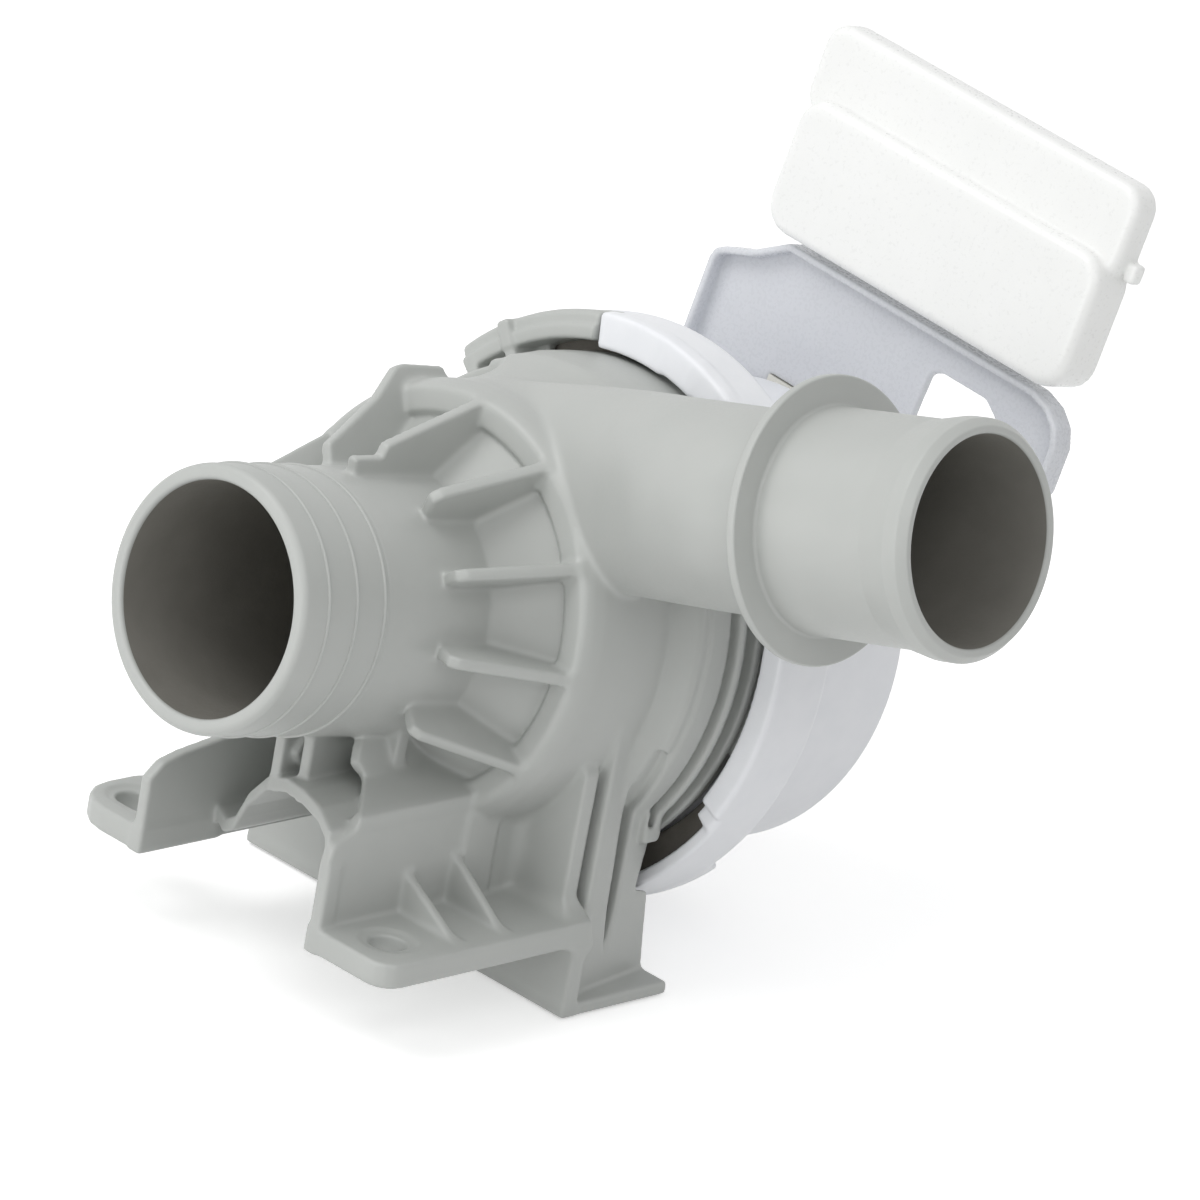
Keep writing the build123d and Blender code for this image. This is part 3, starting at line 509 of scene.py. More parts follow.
def build_casing():
    low, high = (-47, 12, -63.8), (76, 90, 50)
    body = Field(low, high, STEP)
    body.join(turned([
        (BIG, 17.6), (19.6, 17.6), (20.0, 18.0), (20.0, 20.6), (20.3, 39.5), (28.0, 47.6), (28.8, 46.2), (32.1, 46.2),
        (32.8, 46.6), (33.4, 47.9), (RIM, 50.0), (RIM, 64.6), (FLANGE, 67.0), (FLANGE, FLANGE_BACK), (BIG, FLANGE_BACK),
    ]), (-38, 17, -38), (38, 85, 38), PUMP)
    body.join(neck(0.0, 0.0), (0, 33, 3), (74, 68, 37), PUMP, soft=1.4)
    dome = sector(turned([(32.0, 58.0), (33.4, 58.0), (35.6, 63.0), (FLANGE, 67.4), (38.7, 73.0), (38.9, 77.4),
                          (38.9, FLANGE_BACK), (32.0, FLANGE_BACK)]), 40, 98)
    body.join(dome, (-39, 57, -39), (39, 85, 39), PUMP, soft=1.6)

    # ribs of the cone, with the longer one and the hook rib at the top
    rib = [(18.8, 31.2), (21.5, 28.8), (24.3, 27.7), (25.7, 28.9), (32.5, 46.3), (32.5, 48.2), (18.8, 48.2)]
    for angle in (45, 15, -15, -45, -75, -105, -135, 195, 165, 135):
        body.join(meridian(rib, 2.0, angle), (-33, 27, -33), (33, 49, 33), PUMP, soft=1.0)
    body.join(meridian([(18.8, 23.0), (22.8, 22.2), (23.0, 27.8), (25.0, 28.3), (32.5, 46.3), (32.5, 48.2),
                        (18.8, 48.2)], 2.0, 75), (-33, 21, -33), (33, 49, 33), PUMP, soft=1.0)
    body.join(meridian([(18.8, 28.4), (23.8, 28.9), (25.1, 31.1), (31.0, 40.4), (35.8, 45.4), (36.3, 47.2),
                        (36.2, 55.8), (33.4, 57.4), (18.8, 57.4)], 2.0, 105),
              (-37, 21, -37), (37, 58, 37), PUMP, soft=1.0)

    feet = build_feet(low, high)
    index, _, _, _ = body.around((-37, 13, -64), (37, 78, -10), LEVEL, 1.0)
    body.values[index] = soft_min(body.values[index], feet.values[index], 1.1)

    # hook arch with its webs, the bar over the longer web and the wall behind its window, and the bayonet lugs
    low, high = (-46, 76, -46), (46, 88, 46)
    body.cut(sector(turned(ring_profile(42.0, 36.7, 60.0, 80.0)), 104.5, 131.0), (-42, 64, -42), (42, 80, 42), PUMP,
             soft=0.4)
    body.cut(sector(turned(ring_profile(42.0, 33.6, 62.0, 66.6)), 101.0, 131.0), (-42, 62, -42), (42, 67, 42), PUMP,
             soft=0.6)
    body.join(sector(turned(ARCH), 86.9, 124.6), low, high, PUMP)
    body.join(sector(turned(ring_profile(45.3, 40.7, 76.5, 79.0)), 109.6, 112.8), low, high, PUMP, soft=0.3)
    body.join(sector(turned(ring_profile(43.0, 36.0, 82.3, 84.1)), 106.0, 131.0), low, high, PUMP, soft=0.3)
    for start, stop in WEBS:
        body.join(sector(turned(ring_profile(43.0, 35.8, 76.9, 83.8)), start, stop), low, high, PUMP, soft=0.3)
    for start, stop in LUGS:
        body.join(sector(turned(ring_profile(42.6, 36.4, 81, 84)), start, stop), low, high, PUMP)

    # grooves, lip, band and ridges on the lower part of the rear flange
    lower = (-218, 42)
    for start, stop in ((73.6, 75.1), (76.4, 78.9)):
        groove = sector(turned(ring_profile(40.0, 36.6, start, stop)), *lower)
        body.cut(groove, (-40, start, -40), (40, stop, 40), PUMP)
    for radius, start, stop in ((38.0, 67.6, 68.5), (38.3, 69.1, 73.7), (39.2, 75.0, 76.5), (39.2, 78.8, 80.4)):
        ridge = sector(turned(ring_profile(radius, 35.9, start, stop)), *lower)
        body.join(ridge, (-40, start, -40), (40, stop, 40), PUMP, soft=0.3)

    for side in (1, -1):
        body.cut(side_slot, *slot_room(side), soft=0.3)

    # hollows
    body.cut(turned([
        (BIG, 10.0), (18.1, 10.0), (18.1, 41.2), (24.0, 49.2), (30.0, 50.2), (SHELL, 51.2), (SHELL, 68.0),
        (CAN_ROOM, 68.0), (CAN_ROOM, 92.0), (BIG, 92.0),
    ]), (-36, 12, -36), (36, 90, 36), PUMP)
    body.cut(neck(2.4, 13.0), (12, 33, 3), (80, 68, 37), PUMP)

    # screw hole and slotted hole of the feet, each in a shallow ring
    for x, half in ((SCREW_X, 0.0), (-SCREW_X, 1.25)):
        for radius, bottom in ((SCREW_HOLE, -52.0), (4.3, -47.1)):
            hole = lambda u, v, w, x=x, half=half, radius=radius, bottom=bottom: np.maximum(np.sqrt(
                np.maximum(np.abs(u - x) - half, 0) ** 2 + (v - SCREW_Y) ** 2) - radius, bottom - w)
            body.cut(hole, (x - 6, 16, -52), (x + 6, 27, -46))
    body.values = np.maximum(body.values, (-62.6 - body.axes[2])[None, None, :])
    body.soften(1)
    return body.piece("volute_casing_body", limit=190000)


casing = build_casing()
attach(casing, "pump")
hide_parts("volute_casing")


# Inlet spigot, with its mouth, bore and the thick first length of its wall

inlet = spun("inlet_spigot", rounded([
    (17.5, 0.0, 0.7), (20.0, 0.0, 1.2), (20.0, 18.0, 0.0), (19.2, 18.0, 0.0), (18.6, 24.0, 0.0), (18.6, 41.4, 0.3),
    (17.5, 41.4, 0.5),
]), about_pump)
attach(inlet, "pump")
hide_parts("volute_casing")


# Outlet spigot: flange, pipe, swelling hose bead, mouth and bore

outlet = spun("outlet_spigot", [(r, x) for x, r in rounded([
    (58.0, 12.8, 0.0), (58.0, 13.8, 0.0), (72.8, 13.8, 0.0), (72.8, 21.2, 0.35), (74.3, 21.2, 0.35),
    (74.3, 16.65, 0.6), (93.6, 16.65, 4.0), (98.6, 17.6, 2.0), (101.0, 17.6, 0.7), (102.4, 16.5, 0.5),
    (102.4, 15.4, 0.5), (78.0, 14.0, 1.0), (72.8, 12.8, 1.0),
])], about_outlet)
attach(outlet, "pump")
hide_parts("volute_casing")


# Motor housing: barrel, shoulder, bayonet ring and its skirt

def build_motor():
    body = Field((-47, 76, -47), (47, 120, 47), STEP)
    whole = ((-46, 77, -46), (46, 119, 46))
    body.join(turned([
        (34.4, SEAT), (43.2, SEAT), (43.2, 79.6), (RING, 79.6), (RING, 88.6), (36.7, 98.0), (BARREL, 98.6),
        (BARREL, 116.6), (35.2, BARREL_BACK), (BIG, BARREL_BACK), (BIG, 115.8), (34.4, 115.8),
    ]), *whole)
    body.cut(sector(turned(ring_profile(46.4, 42.2, 76.6, SEAT)), 86.4, 128.4), *whole)
    body.cut(sector(turned(ring_profile(46.4, 41.6, 76.6, 90.0)), 124.0, 143.0), *whole, soft=0.5)
    for start, stop, inner in ((-40, 52, 41.0), (143, 268.3, 41.0), (49, 60, 40.6), (57, 70, 40.1),
                               (67, 86.4, 39.7)):
        body.join(sector(turned([(inner + 0.2, 77.8), (45.0, 77.8), (RING, 78.2), (RING, 80.6), (inner, 80.6),
                                 (inner, 78.0)]), start, stop), *whole, soft=0.0 if inner > 40.8 else 0.5)
    for start, stop in ((-44.0, -39.0), (264.5, 271.0)):
        body.join(sector(turned(ring_profile(44.9, 41.4, 79.0, 82.6)), start, stop), *whole, soft=0.3)
    body.join(sector(turned(ring_profile(RING, 42.2, 87.6, 91.0)), -104, -56), *whole, soft=0.6)
    for offset in (-5.0, 0.0, 5.0):
        x = 2.0 + offset
        low, high = (x - 1.7, 112.0, 30.3), (x + 1.7, 120.0, 31.7)
        body.cut(block(low, high), low, high, PUMP.T @ COVER)
    body.soften(1)
    return body.piece("motor_shell", PUMP, limit=110000)


motor = build_motor()
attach(motor, "pump")
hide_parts("motor_housing")


# Dark ring on the motor housing's seat, a sheet put in to paint the shade in the gap round the flange

shade_ring = spun("seat_gasket", rounded([(37.9, 84.3, 0.4), (42.9, 84.3, 0.4), (42.9, 86.45, 0.0), (37.9, 86.45, 0.0)]),
              about_pump)
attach(shade_ring, "pump")


# Connector cover: tray with a raised rim and a window, and the lid that hangs on its film hinge

TRAY = [(-26.6, 30.0), (-26.6, 48.4), (-26.0, 50.0), (-24.3, 51.0), (-18.8, 52.9), (-12.4, 56.8), (41.6, 56.8),
        (45.4, 55.6), (48.0, 53.4), (49.3, 50.4), (49.3, 43.4), (48.6, 41.2), (46.6, 39.4), (41.0, 37.6), (33.0, 34.0),
        (27.6, 28.0), (25.0, 22.0), (-20.0, 22.0), (-24.6, 25.0)]
WINDOW = [(19.8, 40.6, 1.0), (20.2, 49.6, 1.4), (22.4, 50.6, 1.4), (31.8, 50.6, 1.6), (35.2, 48.4, 1.6),
          (36.6, 43.0, 1.2), (34.0, 40.6, 1.2)]


def build_tray():
    body = Field((-28, 114, 20), (51, 121.5, 59), 0.32)
    whole = ((-27, 115, 21), (50, 120, 58))
    edge = outline(TRAY)
    body.join(lambda x, y, z: between(edge(x, z), y, 118.1, 119.7), *whole)
    body.join(lambda x, y, z: between(np.maximum(edge(x, z), -edge(x, z) - 1.2), y, 115.4, 119.7), *whole)
    body.cut(prism(rounded(WINDOW), "y", 114.0, 122.0), (19, 115, 40), (38, 121, 52))
    body.cut(block((-9.1, 113.0, 25.9), (13.1, 123.0, 36.1)), (-9.1, 114.0, 25.9), (13.1, 121.0, 36.1))
    body.box((-10.0, 119.0, 55.5), (39.0, 119.7, 57.3))
    body.soften(1)
    return body.piece("cover_tray_shell", COVER, limit=60000)


def rounded_block(low, high, corner, edge):
    """A box whose corners, seen from the front, have one radius and whose edges have another."""
    (x0, y0, z0), (x1, y1, z1) = low, high
    flat = outline(rounded([(x0 + edge, z0 + edge, corner - edge), (x1 - edge, z0 + edge, corner - edge),
                            (x1 - edge, z1 - edge, corner - edge), (x0 + edge, z1 - edge, corner - edge)]))
    return lambda x, y, z: between(flat(x, z), y, y0 + edge, y1) - edge


def build_lid():
    body = Field((-21, 110, 56.5), (52, 121, 94), 0.32)
    low, high = (-20, 111, 57), (51, 120, 93)
    body.join(rounded_block((-16.8, 111.6, 58.5), (48.4, 124.0, 80.6), 5.0, 1.6), low, high)
    body.join(rounded_block((-19.2, 114.4, 77.0), (48.4, 124.0, 92.3), 4.0, 1.4), low, high, soft=0.6)
    body.cut(rounded_block((-15.6, 112.8, 59.7), (47.2, 126.0, 79.6), 3.8, 1.0), low, high)
    body.cut(rounded_block((-18.0, 115.6, 78.0), (47.2, 126.0, 91.1), 2.8, 0.8), low, high)
    body.cut(block((-30.0, 119.6, 50.0), (60.0, 126.0, 96.0)), (-21, 119.6, 56), (52, 121, 94))
    body.box((48.2, 117.0, 78.0), (50.4, 119.6, 81.2), corner=0.5)
    body.box((-10.0, 118.9, 57.7), (39.0, 119.6, 59.7))
    body.soften(1)
    return body.piece("cover_lid_shell", COVER, limit=60000)


tray = build_tray()
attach(tray, "pump")
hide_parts("cover_tray")

lid = build_lid()
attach(lid, "lid")
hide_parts("cover_lid")


# Materials

def colour(code):
    """An sRGB hex colour as linear values."""
    parts = [int(code[i:i + 2], 16) / 255 for i in (1, 3, 5)]
    return (*[c / 12.92 if c <= 0.04045 else ((c + 0.055) / 1.055) ** 2.4 for c in parts], 1.0)


def add(tree, kind, settings=None, links=None, **values):
    """One node: its own settings, values for its inputs, and links from other nodes' outputs."""
    node = tree.nodes.new(kind)
    for key, value in (settings or {}).items():
        setattr(node, key, value)
    for key, value in values.items():
        node.inputs[key.replace("_", " ")].default_value = value
    for key, (source, output) in (links or {}).items():
        tree.links.new(source.outputs[output], node.inputs[key])
    return node


def new_material(name):
    material = bpy.data.materials.new(name)
    material.use_nodes = True
    tree = material.node_tree
    tree.nodes.clear()
    place = add(tree, "ShaderNodeTexCoord")
    return material, tree, place


def close_material(material, tree, shader):
    add(tree, "ShaderNodeOutputMaterial", links={"Surface": (shader, 0)})
    return material


def moulded(name, light, dark, roughness, grain_mm, grain_height, blotch_mm=14.0, subsurface=0.0, radius_mm=1.0):
    """A moulded plastic: slow cloudy tone from the flow of the melt, and the mould's fine grain."""
    material, tree, place = new_material(name)
    cloud = add(tree, "ShaderNodeTexNoise", links={"Vector": (place, "Object")},
                Scale=1.0 / (blotch_mm * MM), Detail=4.0, Roughness=0.55)
    tone = add(tree, "ShaderNodeMix", {"data_type": "RGBA"}, {"Factor": (cloud, "Fac")})
    tone.inputs["A"].default_value = colour(dark)
    tone.inputs["B"].default_value = colour(light)
    grain = add(tree, "ShaderNodeTexNoise", links={"Vector": (place, "Object")},
                Scale=1.0 / (grain_mm * MM), Detail=3.0, Roughness=0.6)
    gloss = add(tree, "ShaderNodeMapRange", links={"Value": (grain, "Fac")},
                From_Min=0.3, From_Max=0.7, To_Min=roughness - 0.05, To_Max=roughness + 0.06)
    relief = add(tree, "ShaderNodeBump", links={"Height": (grain, "Fac")}, Strength=0.35, Distance=grain_height * MM)
    shader = add(tree, "ShaderNodeBsdfPrincipled", links={
        "Base Color": (tone, "Result"), "Roughness": (gloss, "Result"), "Normal": (relief, "Normal")}, IOR=1.49)
    if subsurface:
        shader.inputs["Subsurface Weight"].default_value = subsurface
        shader.inputs["Subsurface Radius"].default_value = (radius_mm * MM, radius_mm * MM, radius_mm * MM)
        shader.inputs["Subsurface Scale"].default_value = 1.0
    return close_material(material, tree, shader)


def turned_metal(name, light, dark, roughness, line_mm, spread):
    """A turned, drawn or stacked metal, with fine lines round the pump axis."""
    material, tree, place = new_material(name)
    level = add(tree, "ShaderNodeMapping", links={"Vector": (place, "Object")},
                Rotation=(radians(8.7), radians(14.6), 0.0))
    lines = add(tree, "ShaderNodeTexWave", {"wave_type": "BANDS", "bands_direction": "Y"}, {"Vector": (level, 0)},
                Scale=0.314 / (line_mm * MM), Distortion=spread, Detail=2.0)
    cloud = add(tree, "ShaderNodeTexNoise", links={"Vector": (place, "Object")}, Scale=1.0 / (3.0 * MM), Detail=5.0)
    amount = add(tree, "ShaderNodeMix", {"data_type": "FLOAT"}, {"A": (lines, "Fac"), "B": (cloud, "Fac")}, Factor=0.4)
    tone = add(tree, "ShaderNodeMix", {"data_type": "RGBA"}, {"Factor": (amount, 0)})
    tone.inputs["A"].default_value = colour(dark)
    tone.inputs["B"].default_value = colour(light)
    gloss = add(tree, "ShaderNodeMapRange", links={"Value": (amount, 0)}, To_Min=roughness - 0.06,
                To_Max=roughness + 0.08)
    relief = add(tree, "ShaderNodeBump", links={"Height": (lines, "Fac")}, Strength=0.3, Distance=0.02 * MM)
    shader = add(tree, "ShaderNodeBsdfPrincipled", links={
        "Base Color": (tone, "Result"), "Roughness": (gloss, "Result"), "Normal": (relief, "Normal")}, Metallic=1.0)
    return close_material(material, tree, shader)


# Grey polypropylene with talc, moulded: neutral grey, satin, with a very fine grain
grey_plastic = moulded("polypropylene_talc_grey_moulded", "#B9BBB8", "#B0B3B0", 0.42, 0.5, 0.03)
# The same polypropylene inside the bores, painted a darker brown grey as the shade deep in the bores
bore_painted_shade = moulded("polypropylene_talc_grey_painted_shade", "#85837D", "#75736D", 0.5, 0.5, 0.03, blotch_mm=7.0)
# White polyamide, moulded: bluish white with a cloudy tone
white_plastic = moulded("polyamide_white_moulded", "#F1F2F5", "#E7E9ED", 0.38, 0.5, 0.03, blotch_mm=5.0)
# Natural polypropylene, thin: milky white that lets light through
milky_plastic = moulded("polypropylene_natural_moulded", "#F3F4F2", "#EDEEEC", 0.3, 0.6, 0.006, subsurface=0.6,
                        radius_mm=3.0)
# The same natural polypropylene in the flat tray, painted greyer than the lid as the tray's shade
tray_shaded_plastic = moulded("polypropylene_natural_painted_shade", "#D5D7DB", "#CED0D5", 0.28, 0.6, 0.006, blotch_mm=8.0,
                       subsurface=0.5, radius_mm=2.0)
# Glass-filled polyamide, moulded: dull black brown, with the fibres' rough grain
filled_plastic = moulded("polyamide_glass_filled_moulded", "#54524E", "#4A4845", 0.55, 0.35, 0.05, blotch_mm=4.0)
# Ethylene rubber, moulded: matt black with a grey bloom
black_rubber = moulded("ethylene_rubber_moulded", "#3A3A3B", "#2C2C2D", 0.7, 0.3, 0.04, blotch_mm=3.0)
# Matt brown grey with fine open pores, the painted shade of the ring in the gap round the flange
shade_ring_rubber = moulded("seat_ring_painted_shade", "#827E77", "#706C65", 0.75, 0.4, 0.12, blotch_mm=2.0)
# Natural acetal, moulded: clean off-white and slippery
acetal = moulded("acetal_natural_moulded", "#E9E7DF", "#E1DFD6", 0.32, 0.4, 0.02, blotch_mm=6.0)
# Polybutylene terephthalate, moulded: ivory, slightly dull
ivory_plastic = moulded("polybutylene_terephthalate_moulded", "#E2E1DA", "#DAD9D1", 0.4, 0.5, 0.03, blotch_mm=6.0)
# Alumina ceramic, sintered and ground: cream white with a fine even grain
alumina = moulded("alumina_ceramic_ground", "#E6E1D3", "#DBD6C8", 0.25, 0.2, 0.01, blotch_mm=2.0)
# Hard ferrite, sintered: charcoal grey and slightly sparkling
ferrite = moulded("ferrite_sintered", "#4B4C4F", "#3C3D40", 0.5, 0.25, 0.05, blotch_mm=2.5)
# Fibreglass board with green solder mask: green with a cloudy lacquer
solder_mask = moulded("fibreglass_solder_mask", "#2F6B4A", "#28603F", 0.3, 0.8, 0.02, blotch_mm=9.0)
# Stainless steel, ground: bright, with fine grinding lines round it
ground_steel = turned_metal("stainless_steel_ground", "#C9CACB", "#AEB0B2", 0.22, 0.35, 1.0)
# Electrical steel, stamped and stacked: dark grey sheets of half a millimetre, seen edge on
sheet_steel = turned_metal("electrical_steel_stacked", "#8A8C8F", "#5E6063", 0.4, 0.5, 0.3)
# Tinned brass, stamped: pale grey metal with dull streaks
tinned_brass = turned_metal("tinned_brass_stamped", "#CFCDC6", "#B7B4AB", 0.28, 0.9, 3.0)
# Enamelled copper wire: warm reddish brown under a clear lacquer
copper_wire = turned_metal("copper_wire_enamelled", "#C98A5E", "#B37447", 0.3, 0.5, 1.5)


def inside(piece, frame_turn, test):
    """Gives the faces whose centres pass the test, in millimetres along the piece's own directions, the bores' painted
    shade.
    """
    piece.data.materials.append(grey_plastic)
    piece.data.materials.append(bore_painted_shade)
    centres = np.empty(len(piece.data.polygons) * 3)
    piece.data.polygons.foreach_get("center", centres)
    x, y, z = ((centres.reshape(-1, 3) / MM) @ frame_turn).T
    piece.data.polygons.foreach_set("material_index", test(x, y, z).astype(np.int32))


# painted shade: the chamber, the inlet bore and the outlet bore take the darker grey
inside(casing, PUMP, lambda x, y, z: (np.hypot(x, z) < 31.3) & (y > 41.0) & (y < 68.2) & (
    (np.hypot(x, z) < 18.3) | (y > 50.0 - 0.35 * (SHELL - np.hypot(x, z)) * 1.4 + 0.3)))
inside(inlet, PUMP, lambda x, y, z: (np.hypot(x, z) < 18.1) & (y > 0.9))
inside(outlet, PUMP, lambda x, y, z: (np.hypot(y - OUTLET_Y, z - OUTLET_Z) < 15.45) & (x < 101.9))
motor.data.materials.append(white_plastic)
# the dark ring's material is painted shade for the gap round the flange
shade_ring.data.materials.append(shade_ring_rubber)
# the tray's greyer copy of the lid's plastic is painted shade
tray.data.materials.append(tray_shaded_plastic)
lid.data.materials.append(milky_plastic)

FINISHES = {
    "front_plate": filled_plastic, "body_seal": black_rubber, "rotor_can": filled_plastic,
    "front_bush_holder": black_rubber, "rear_bush_holder": black_rubber, "front_bush": alumina, "rear_bush": alumina,
    "rotor_shaft": ground_steel, "magnet_carrier": acetal, "rotor_magnet": ferrite, "thrust_washers": acetal,
    "impeller": acetal, "impeller_cap": acetal, "stator_core": sheet_steel, "coil_bobbins": ivory_plastic,
    "coil_windings": copper_wire, "wiring_board": solder_mask, "terminal_block": ivory_plastic,
    "terminal_pins": tinned_brass,
}


# Geometry Nodes: what repeats is laid out by a tree of its own, in millimetres, and then kept as a plain mesh

def new_tree(name, sizes):
    """A tree with one named input for each size, its input node and its sockets' identifiers."""
    tree = bpy.data.node_groups.new(name, "GeometryNodeTree")
    tree.interface.new_socket(name="Geometry", in_out="OUTPUT", socket_type="NodeSocketGeometry")
    keys = {}
    for label, value in sizes.items():
        kind = "NodeSocketInt" if isinstance(value, int) else "NodeSocketFloat"
        keys[label] = tree.interface.new_socket(name=label, in_out="INPUT", socket_type=kind).identifier
    return tree, add(tree, "NodeGroupInput"), keys


def grown(name, tree, last, keys, sizes, material, turn):
    """Ends the tree and turns its result into a plain mesh on the pump."""
    whole = add(tree, "GeometryNodeRealizeInstances", links={"Geometry": (last, 0)})
    finish = add(tree, "GeometryNodeSetMaterial", links={"Geometry": (whole, 0)}, Material=material)
    add(tree, "NodeGroupOutput", links={"Geometry": (finish, 0)})
    piece = add_object(name, bpy.data.meshes.new(name))
    modifier = piece.modifiers.new(name, "NODES")
    modifier.node_group = tree
    for label, value in sizes.items():
        modifier[keys[label]] = value
    mesh = bpy.data.meshes.new_from_object(piece.evaluated_get(bpy.context.evaluated_depsgraph_get()))
    piece.modifiers.remove(modifier)
    piece.data = mesh
    mesh.transform(Matrix(turn.tolist()).to_4x4() @ Matrix.Scale(MM, 4))
    mesh.polygons.foreach_set("use_smooth", np.ones(len(mesh.polygons), bool))
    outward(mesh)
    return piece


# Three fine raised rings that grip the sump hose
sizes = {"Count": 3, "First": 5.3, "Spacing": 5.9, "Radius": 19.96, "Height": 0.34}
tree, entry, keys = new_tree("grip_rings", sizes)
start = add(tree, "ShaderNodeCombineXYZ", links={"Y": (entry, "First")})
onward = add(tree, "ShaderNodeCombineXYZ", links={"Y": (entry, "Spacing")})
row = add(tree, "GeometryNodeMeshLine", links={"Count": (entry, "Count"), "Start Location": (start, 0),
                                               "Offset": (onward, 0)})
circle = add(tree, "GeometryNodeCurvePrimitiveCircle", links={"Radius": (entry, "Radius")}, Resolution=180)
upright = add(tree, "GeometryNodeTransform", links={"Geometry": (circle, "Curve")}, Rotation=(pi / 2, 0.0, 0.0))
bead = add(tree, "GeometryNodeCurvePrimitiveCircle", links={"Radius": (entry, "Height")}, Resolution=10)
ring = add(tree, "GeometryNodeCurveToMesh", links={"Curve": (upright, 0), "Profile Curve": (bead, "Curve")})
rings = add(tree, "GeometryNodeInstanceOnPoints", links={"Points": (row, 0), "Instance": (ring, 0)})
grips = grown("grip_rings", tree, rings, keys, sizes, grey_plastic, PUMP)
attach(grips, "pump")
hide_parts("volute_casing")

# Coil windings: turns of wire laid side by side on each bobbin, six coils round the axis
sizes = {"Coils": 6, "Turns": 11, "First Turn": 20.98, "Wire": 0.56, "Middle": 98.15, "Width": 12.84,
         "Length": 21.54, "Corner": 2.5}
tree, entry, keys = new_tree("coil_windings", sizes)
frame_line = add(tree, "GeometryNodeCurvePrimitiveQuadrilateral", links={"Width": (entry, "Width"),
                                                                         "Height": (entry, "Length")})
bent = add(tree, "GeometryNodeFilletCurve", {"mode": "POLY"}, {"Curve": (frame_line, 0), "Radius": (entry, "Corner")},
           Count=5)
upright = add(tree, "GeometryNodeTransform", links={"Geometry": (bent, 0)}, Rotation=(0.0, pi / 2, 0.0))
radius = add(tree, "ShaderNodeMath", {"operation": "MULTIPLY"}, {0: (entry, "Wire")})
radius.inputs[1].default_value = 0.5
wire = add(tree, "GeometryNodeCurvePrimitiveCircle", links={"Radius": (radius, 0)}, Resolution=8)
turn_mesh = add(tree, "GeometryNodeCurveToMesh", links={"Curve": (upright, 0), "Profile Curve": (wire, "Curve")})
start = add(tree, "ShaderNodeCombineXYZ", links={"X": (entry, "First Turn"), "Y": (entry, "Middle")})
onward = add(tree, "ShaderNodeCombineXYZ", links={"X": (entry, "Wire")})
row = add(tree, "GeometryNodeMeshLine", links={"Count": (entry, "Turns"), "Start Location": (start, 0),
                                               "Offset": (onward, 0)})
coil = add(tree, "GeometryNodeInstanceOnPoints", links={"Points": (row, 0), "Instance": (turn_mesh, 0)})
hub = add(tree, "GeometryNodeMeshLine", links={"Count": (entry, "Coils")})
hub.inputs["Offset"].default_value = (0.0, 0.0, 0.0)
number = add(tree, "GeometryNodeInputIndex")
share = add(tree, "ShaderNodeMath", {"operation": "DIVIDE"}, {0: (number, 0), 1: (entry, "Coils")})
angle = add(tree, "ShaderNodeMath", {"operation": "MULTIPLY"}, {0: (share, 0)})
angle.inputs[1].default_value = 2 * pi
about = add(tree, "ShaderNodeCombineXYZ", links={"Y": (angle, 0)})
coils = add(tree, "GeometryNodeInstanceOnPoints", links={"Points": (hub, 0), "Instance": (coil, 0),
                                                         "Rotation": (about, 0)})
windings = grown("coil_wires", tree, coils, keys, sizes, copper_wire, PUMP)
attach(windings, "pump")
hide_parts("coil_windings")

for name, finish in FINISHES.items():
    item = nodes[name]
    for part in [item, *item.children_recursive]:
        if part.type == "MESH":
            part.data.materials.clear()
            part.data.materials.append(finish)


# Camera at the photograph's angle

camera_data = bpy.data.cameras.new("camera")
camera_data.sensor_width = 36.0
camera_data.lens = 225.0
camera_data.clip_end = 10.0
camera = bpy.data.objects.new("camera", camera_data)
camera.location = (0.717582, -0.731198, 0.383960)
camera.rotation_euler = (radians(69.65791), radians(-9.81268), radians(44.91021))
bpy.context.scene.collection.objects.link(camera)
bpy.context.scene.camera = camera
bpy.context.scene.view_settings.view_transform = "Standard"


# Floor, world and soft lamps

def background_rays(tree):
    """1 for the rays that show the background: the camera's, a reflection's and those through a clear piece."""
    rays = add(tree, "ShaderNodeLightPath")
    direct = add(tree, "ShaderNodeMath", {"operation": "MAXIMUM"},
                 {0: (rays, "Is Camera Ray"), 1: (rays, "Is Transmission Ray")})
    return add(tree, "ShaderNodeMath", {"operation": "MAXIMUM"}, {0: (direct, 0), 1: (rays, "Is Glossy Ray")})


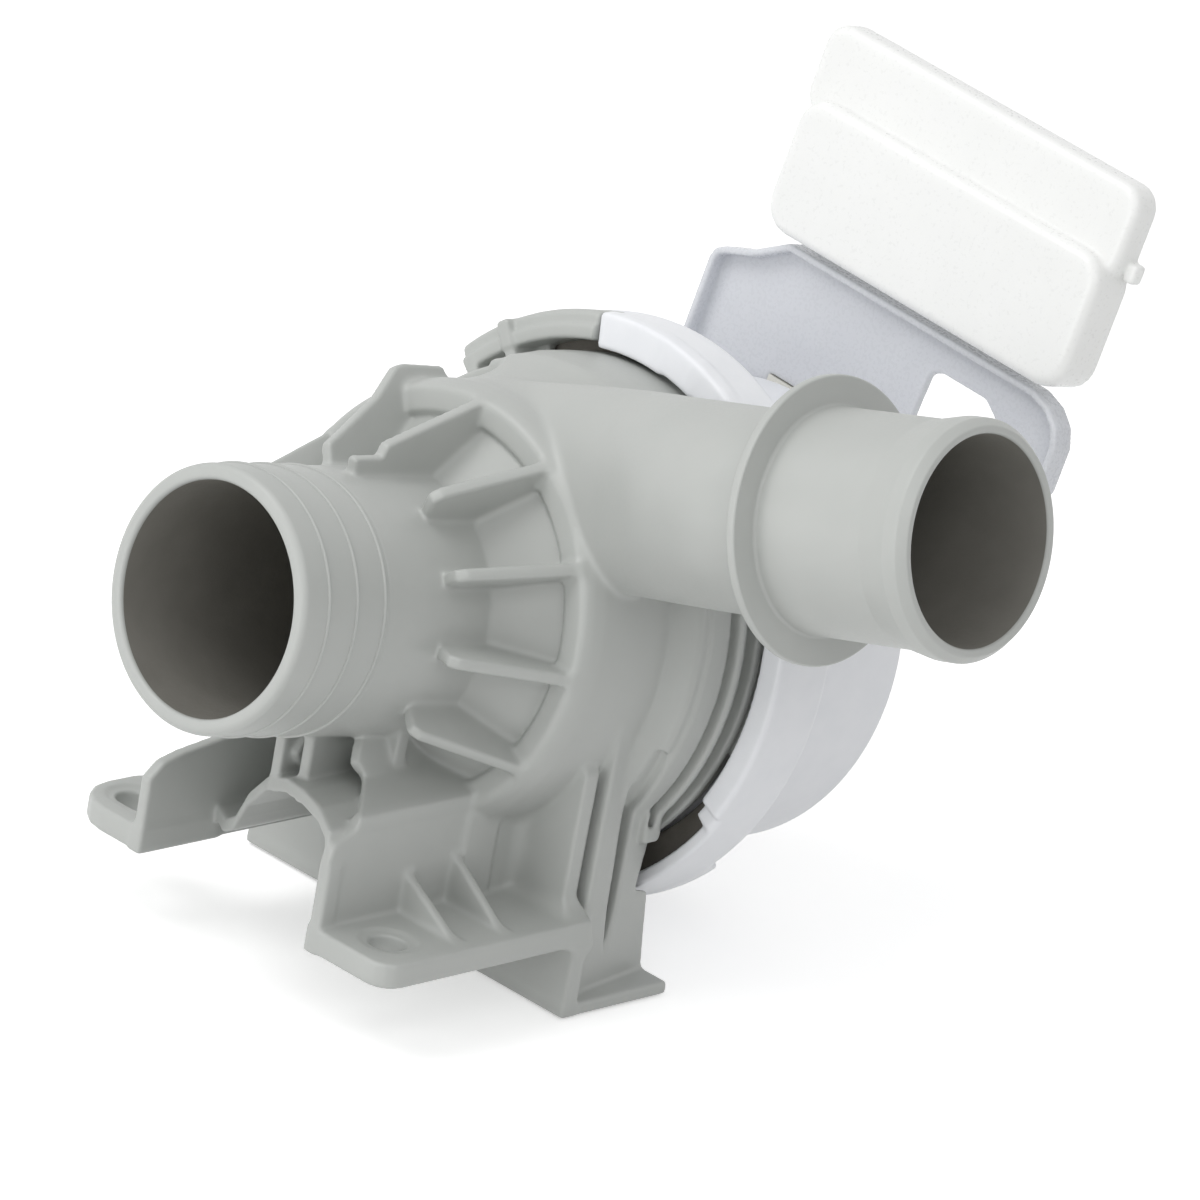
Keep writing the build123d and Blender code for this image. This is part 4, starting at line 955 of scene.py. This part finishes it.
floor_height = cad_low.z - 0.0002
floor_mesh = bpy.data.meshes.new("floor")
floor_mesh.from_pydata([(x * 3.0, y * 3.0, floor_height) for x, y in ((-1, -1), (1, -1), (1, 1), (-1, 1))],
                       [], [(0, 1, 2, 3)])
floor = add_object("floor", floor_mesh)
paper, tree, place = new_material("paper_white")
pulp = add(tree, "ShaderNodeTexNoise", links={"Vector": (place, "Object")}, Scale=40.0, Detail=4.0)
tone = add(tree, "ShaderNodeMix", {"data_type": "RGBA"}, {"Factor": (pulp, "Fac")})
tone.inputs["A"].default_value = colour("#F2F2F2")
tone.inputs["B"].default_value = colour("#F4F4F4")
diffuse = add(tree, "ShaderNodeBsdfDiffuse", links={"Color": (tone, "Result")})
lift = add(tree, "ShaderNodeEmission", Color=(1.0, 1.0, 1.0, 1.0), Strength=0.45)
seen = background_rays(tree)
lit = add(tree, "ShaderNodeAddShader", links={0: (diffuse, 0), 1: (lift, 0)})
mix = add(tree, "ShaderNodeMixShader", links={0: (seen, 0), 1: (diffuse, 0), 2: (lit, 0)})
close_material(paper, tree, mix)
floor_mesh.materials.append(paper)

world = bpy.data.worlds.new("studio")
bpy.context.scene.world = world
world.use_nodes = True
tree = world.node_tree
tree.nodes.clear()
seen = background_rays(tree)
sky = add(tree, "ShaderNodeTexCoord")
height = add(tree, "ShaderNodeSeparateXYZ", links={"Vector": (sky, "Generated")})
soft = add(tree, "ShaderNodeMapRange", links={"Value": (height, "Z")}, From_Min=0.0, From_Max=0.8, To_Min=0.42,
           To_Max=0.62)
light = add(tree, "ShaderNodeBackground", links={"Strength": (soft, "Result")}, Color=(1.0, 1.0, 1.0, 1.0))
back = add(tree, "ShaderNodeBackground", Color=(1.0, 1.0, 1.0, 1.0), Strength=1.0)
mix = add(tree, "ShaderNodeMixShader", links={0: (seen, 0), 1: (light, 0), 2: (back, 0)})
add(tree, "ShaderNodeOutputWorld", links={"Surface": (mix, 0)})


def lamp(name, place, size, watts, target=(0.02, 0.04, 0.0)):
    data = bpy.data.lights.new(name, "AREA")
    data.shape = "SQUARE"
    data.size = size
    data.energy = watts
    item = bpy.data.objects.new(name, data)
    item.location = place
    item.rotation_euler = (Vector(target) - Vector(place)).to_track_quat("-Z", "Y").to_euler()
    bpy.context.scene.collection.objects.link(item)


lamp("key", (-0.35, -0.60, 1.05), 0.8, 6.1)
lamp("side", (0.75, -0.55, 0.75), 0.6, 2.0)
lamp("low", (-0.1, -0.9, 0.04), 0.5, 2.4)
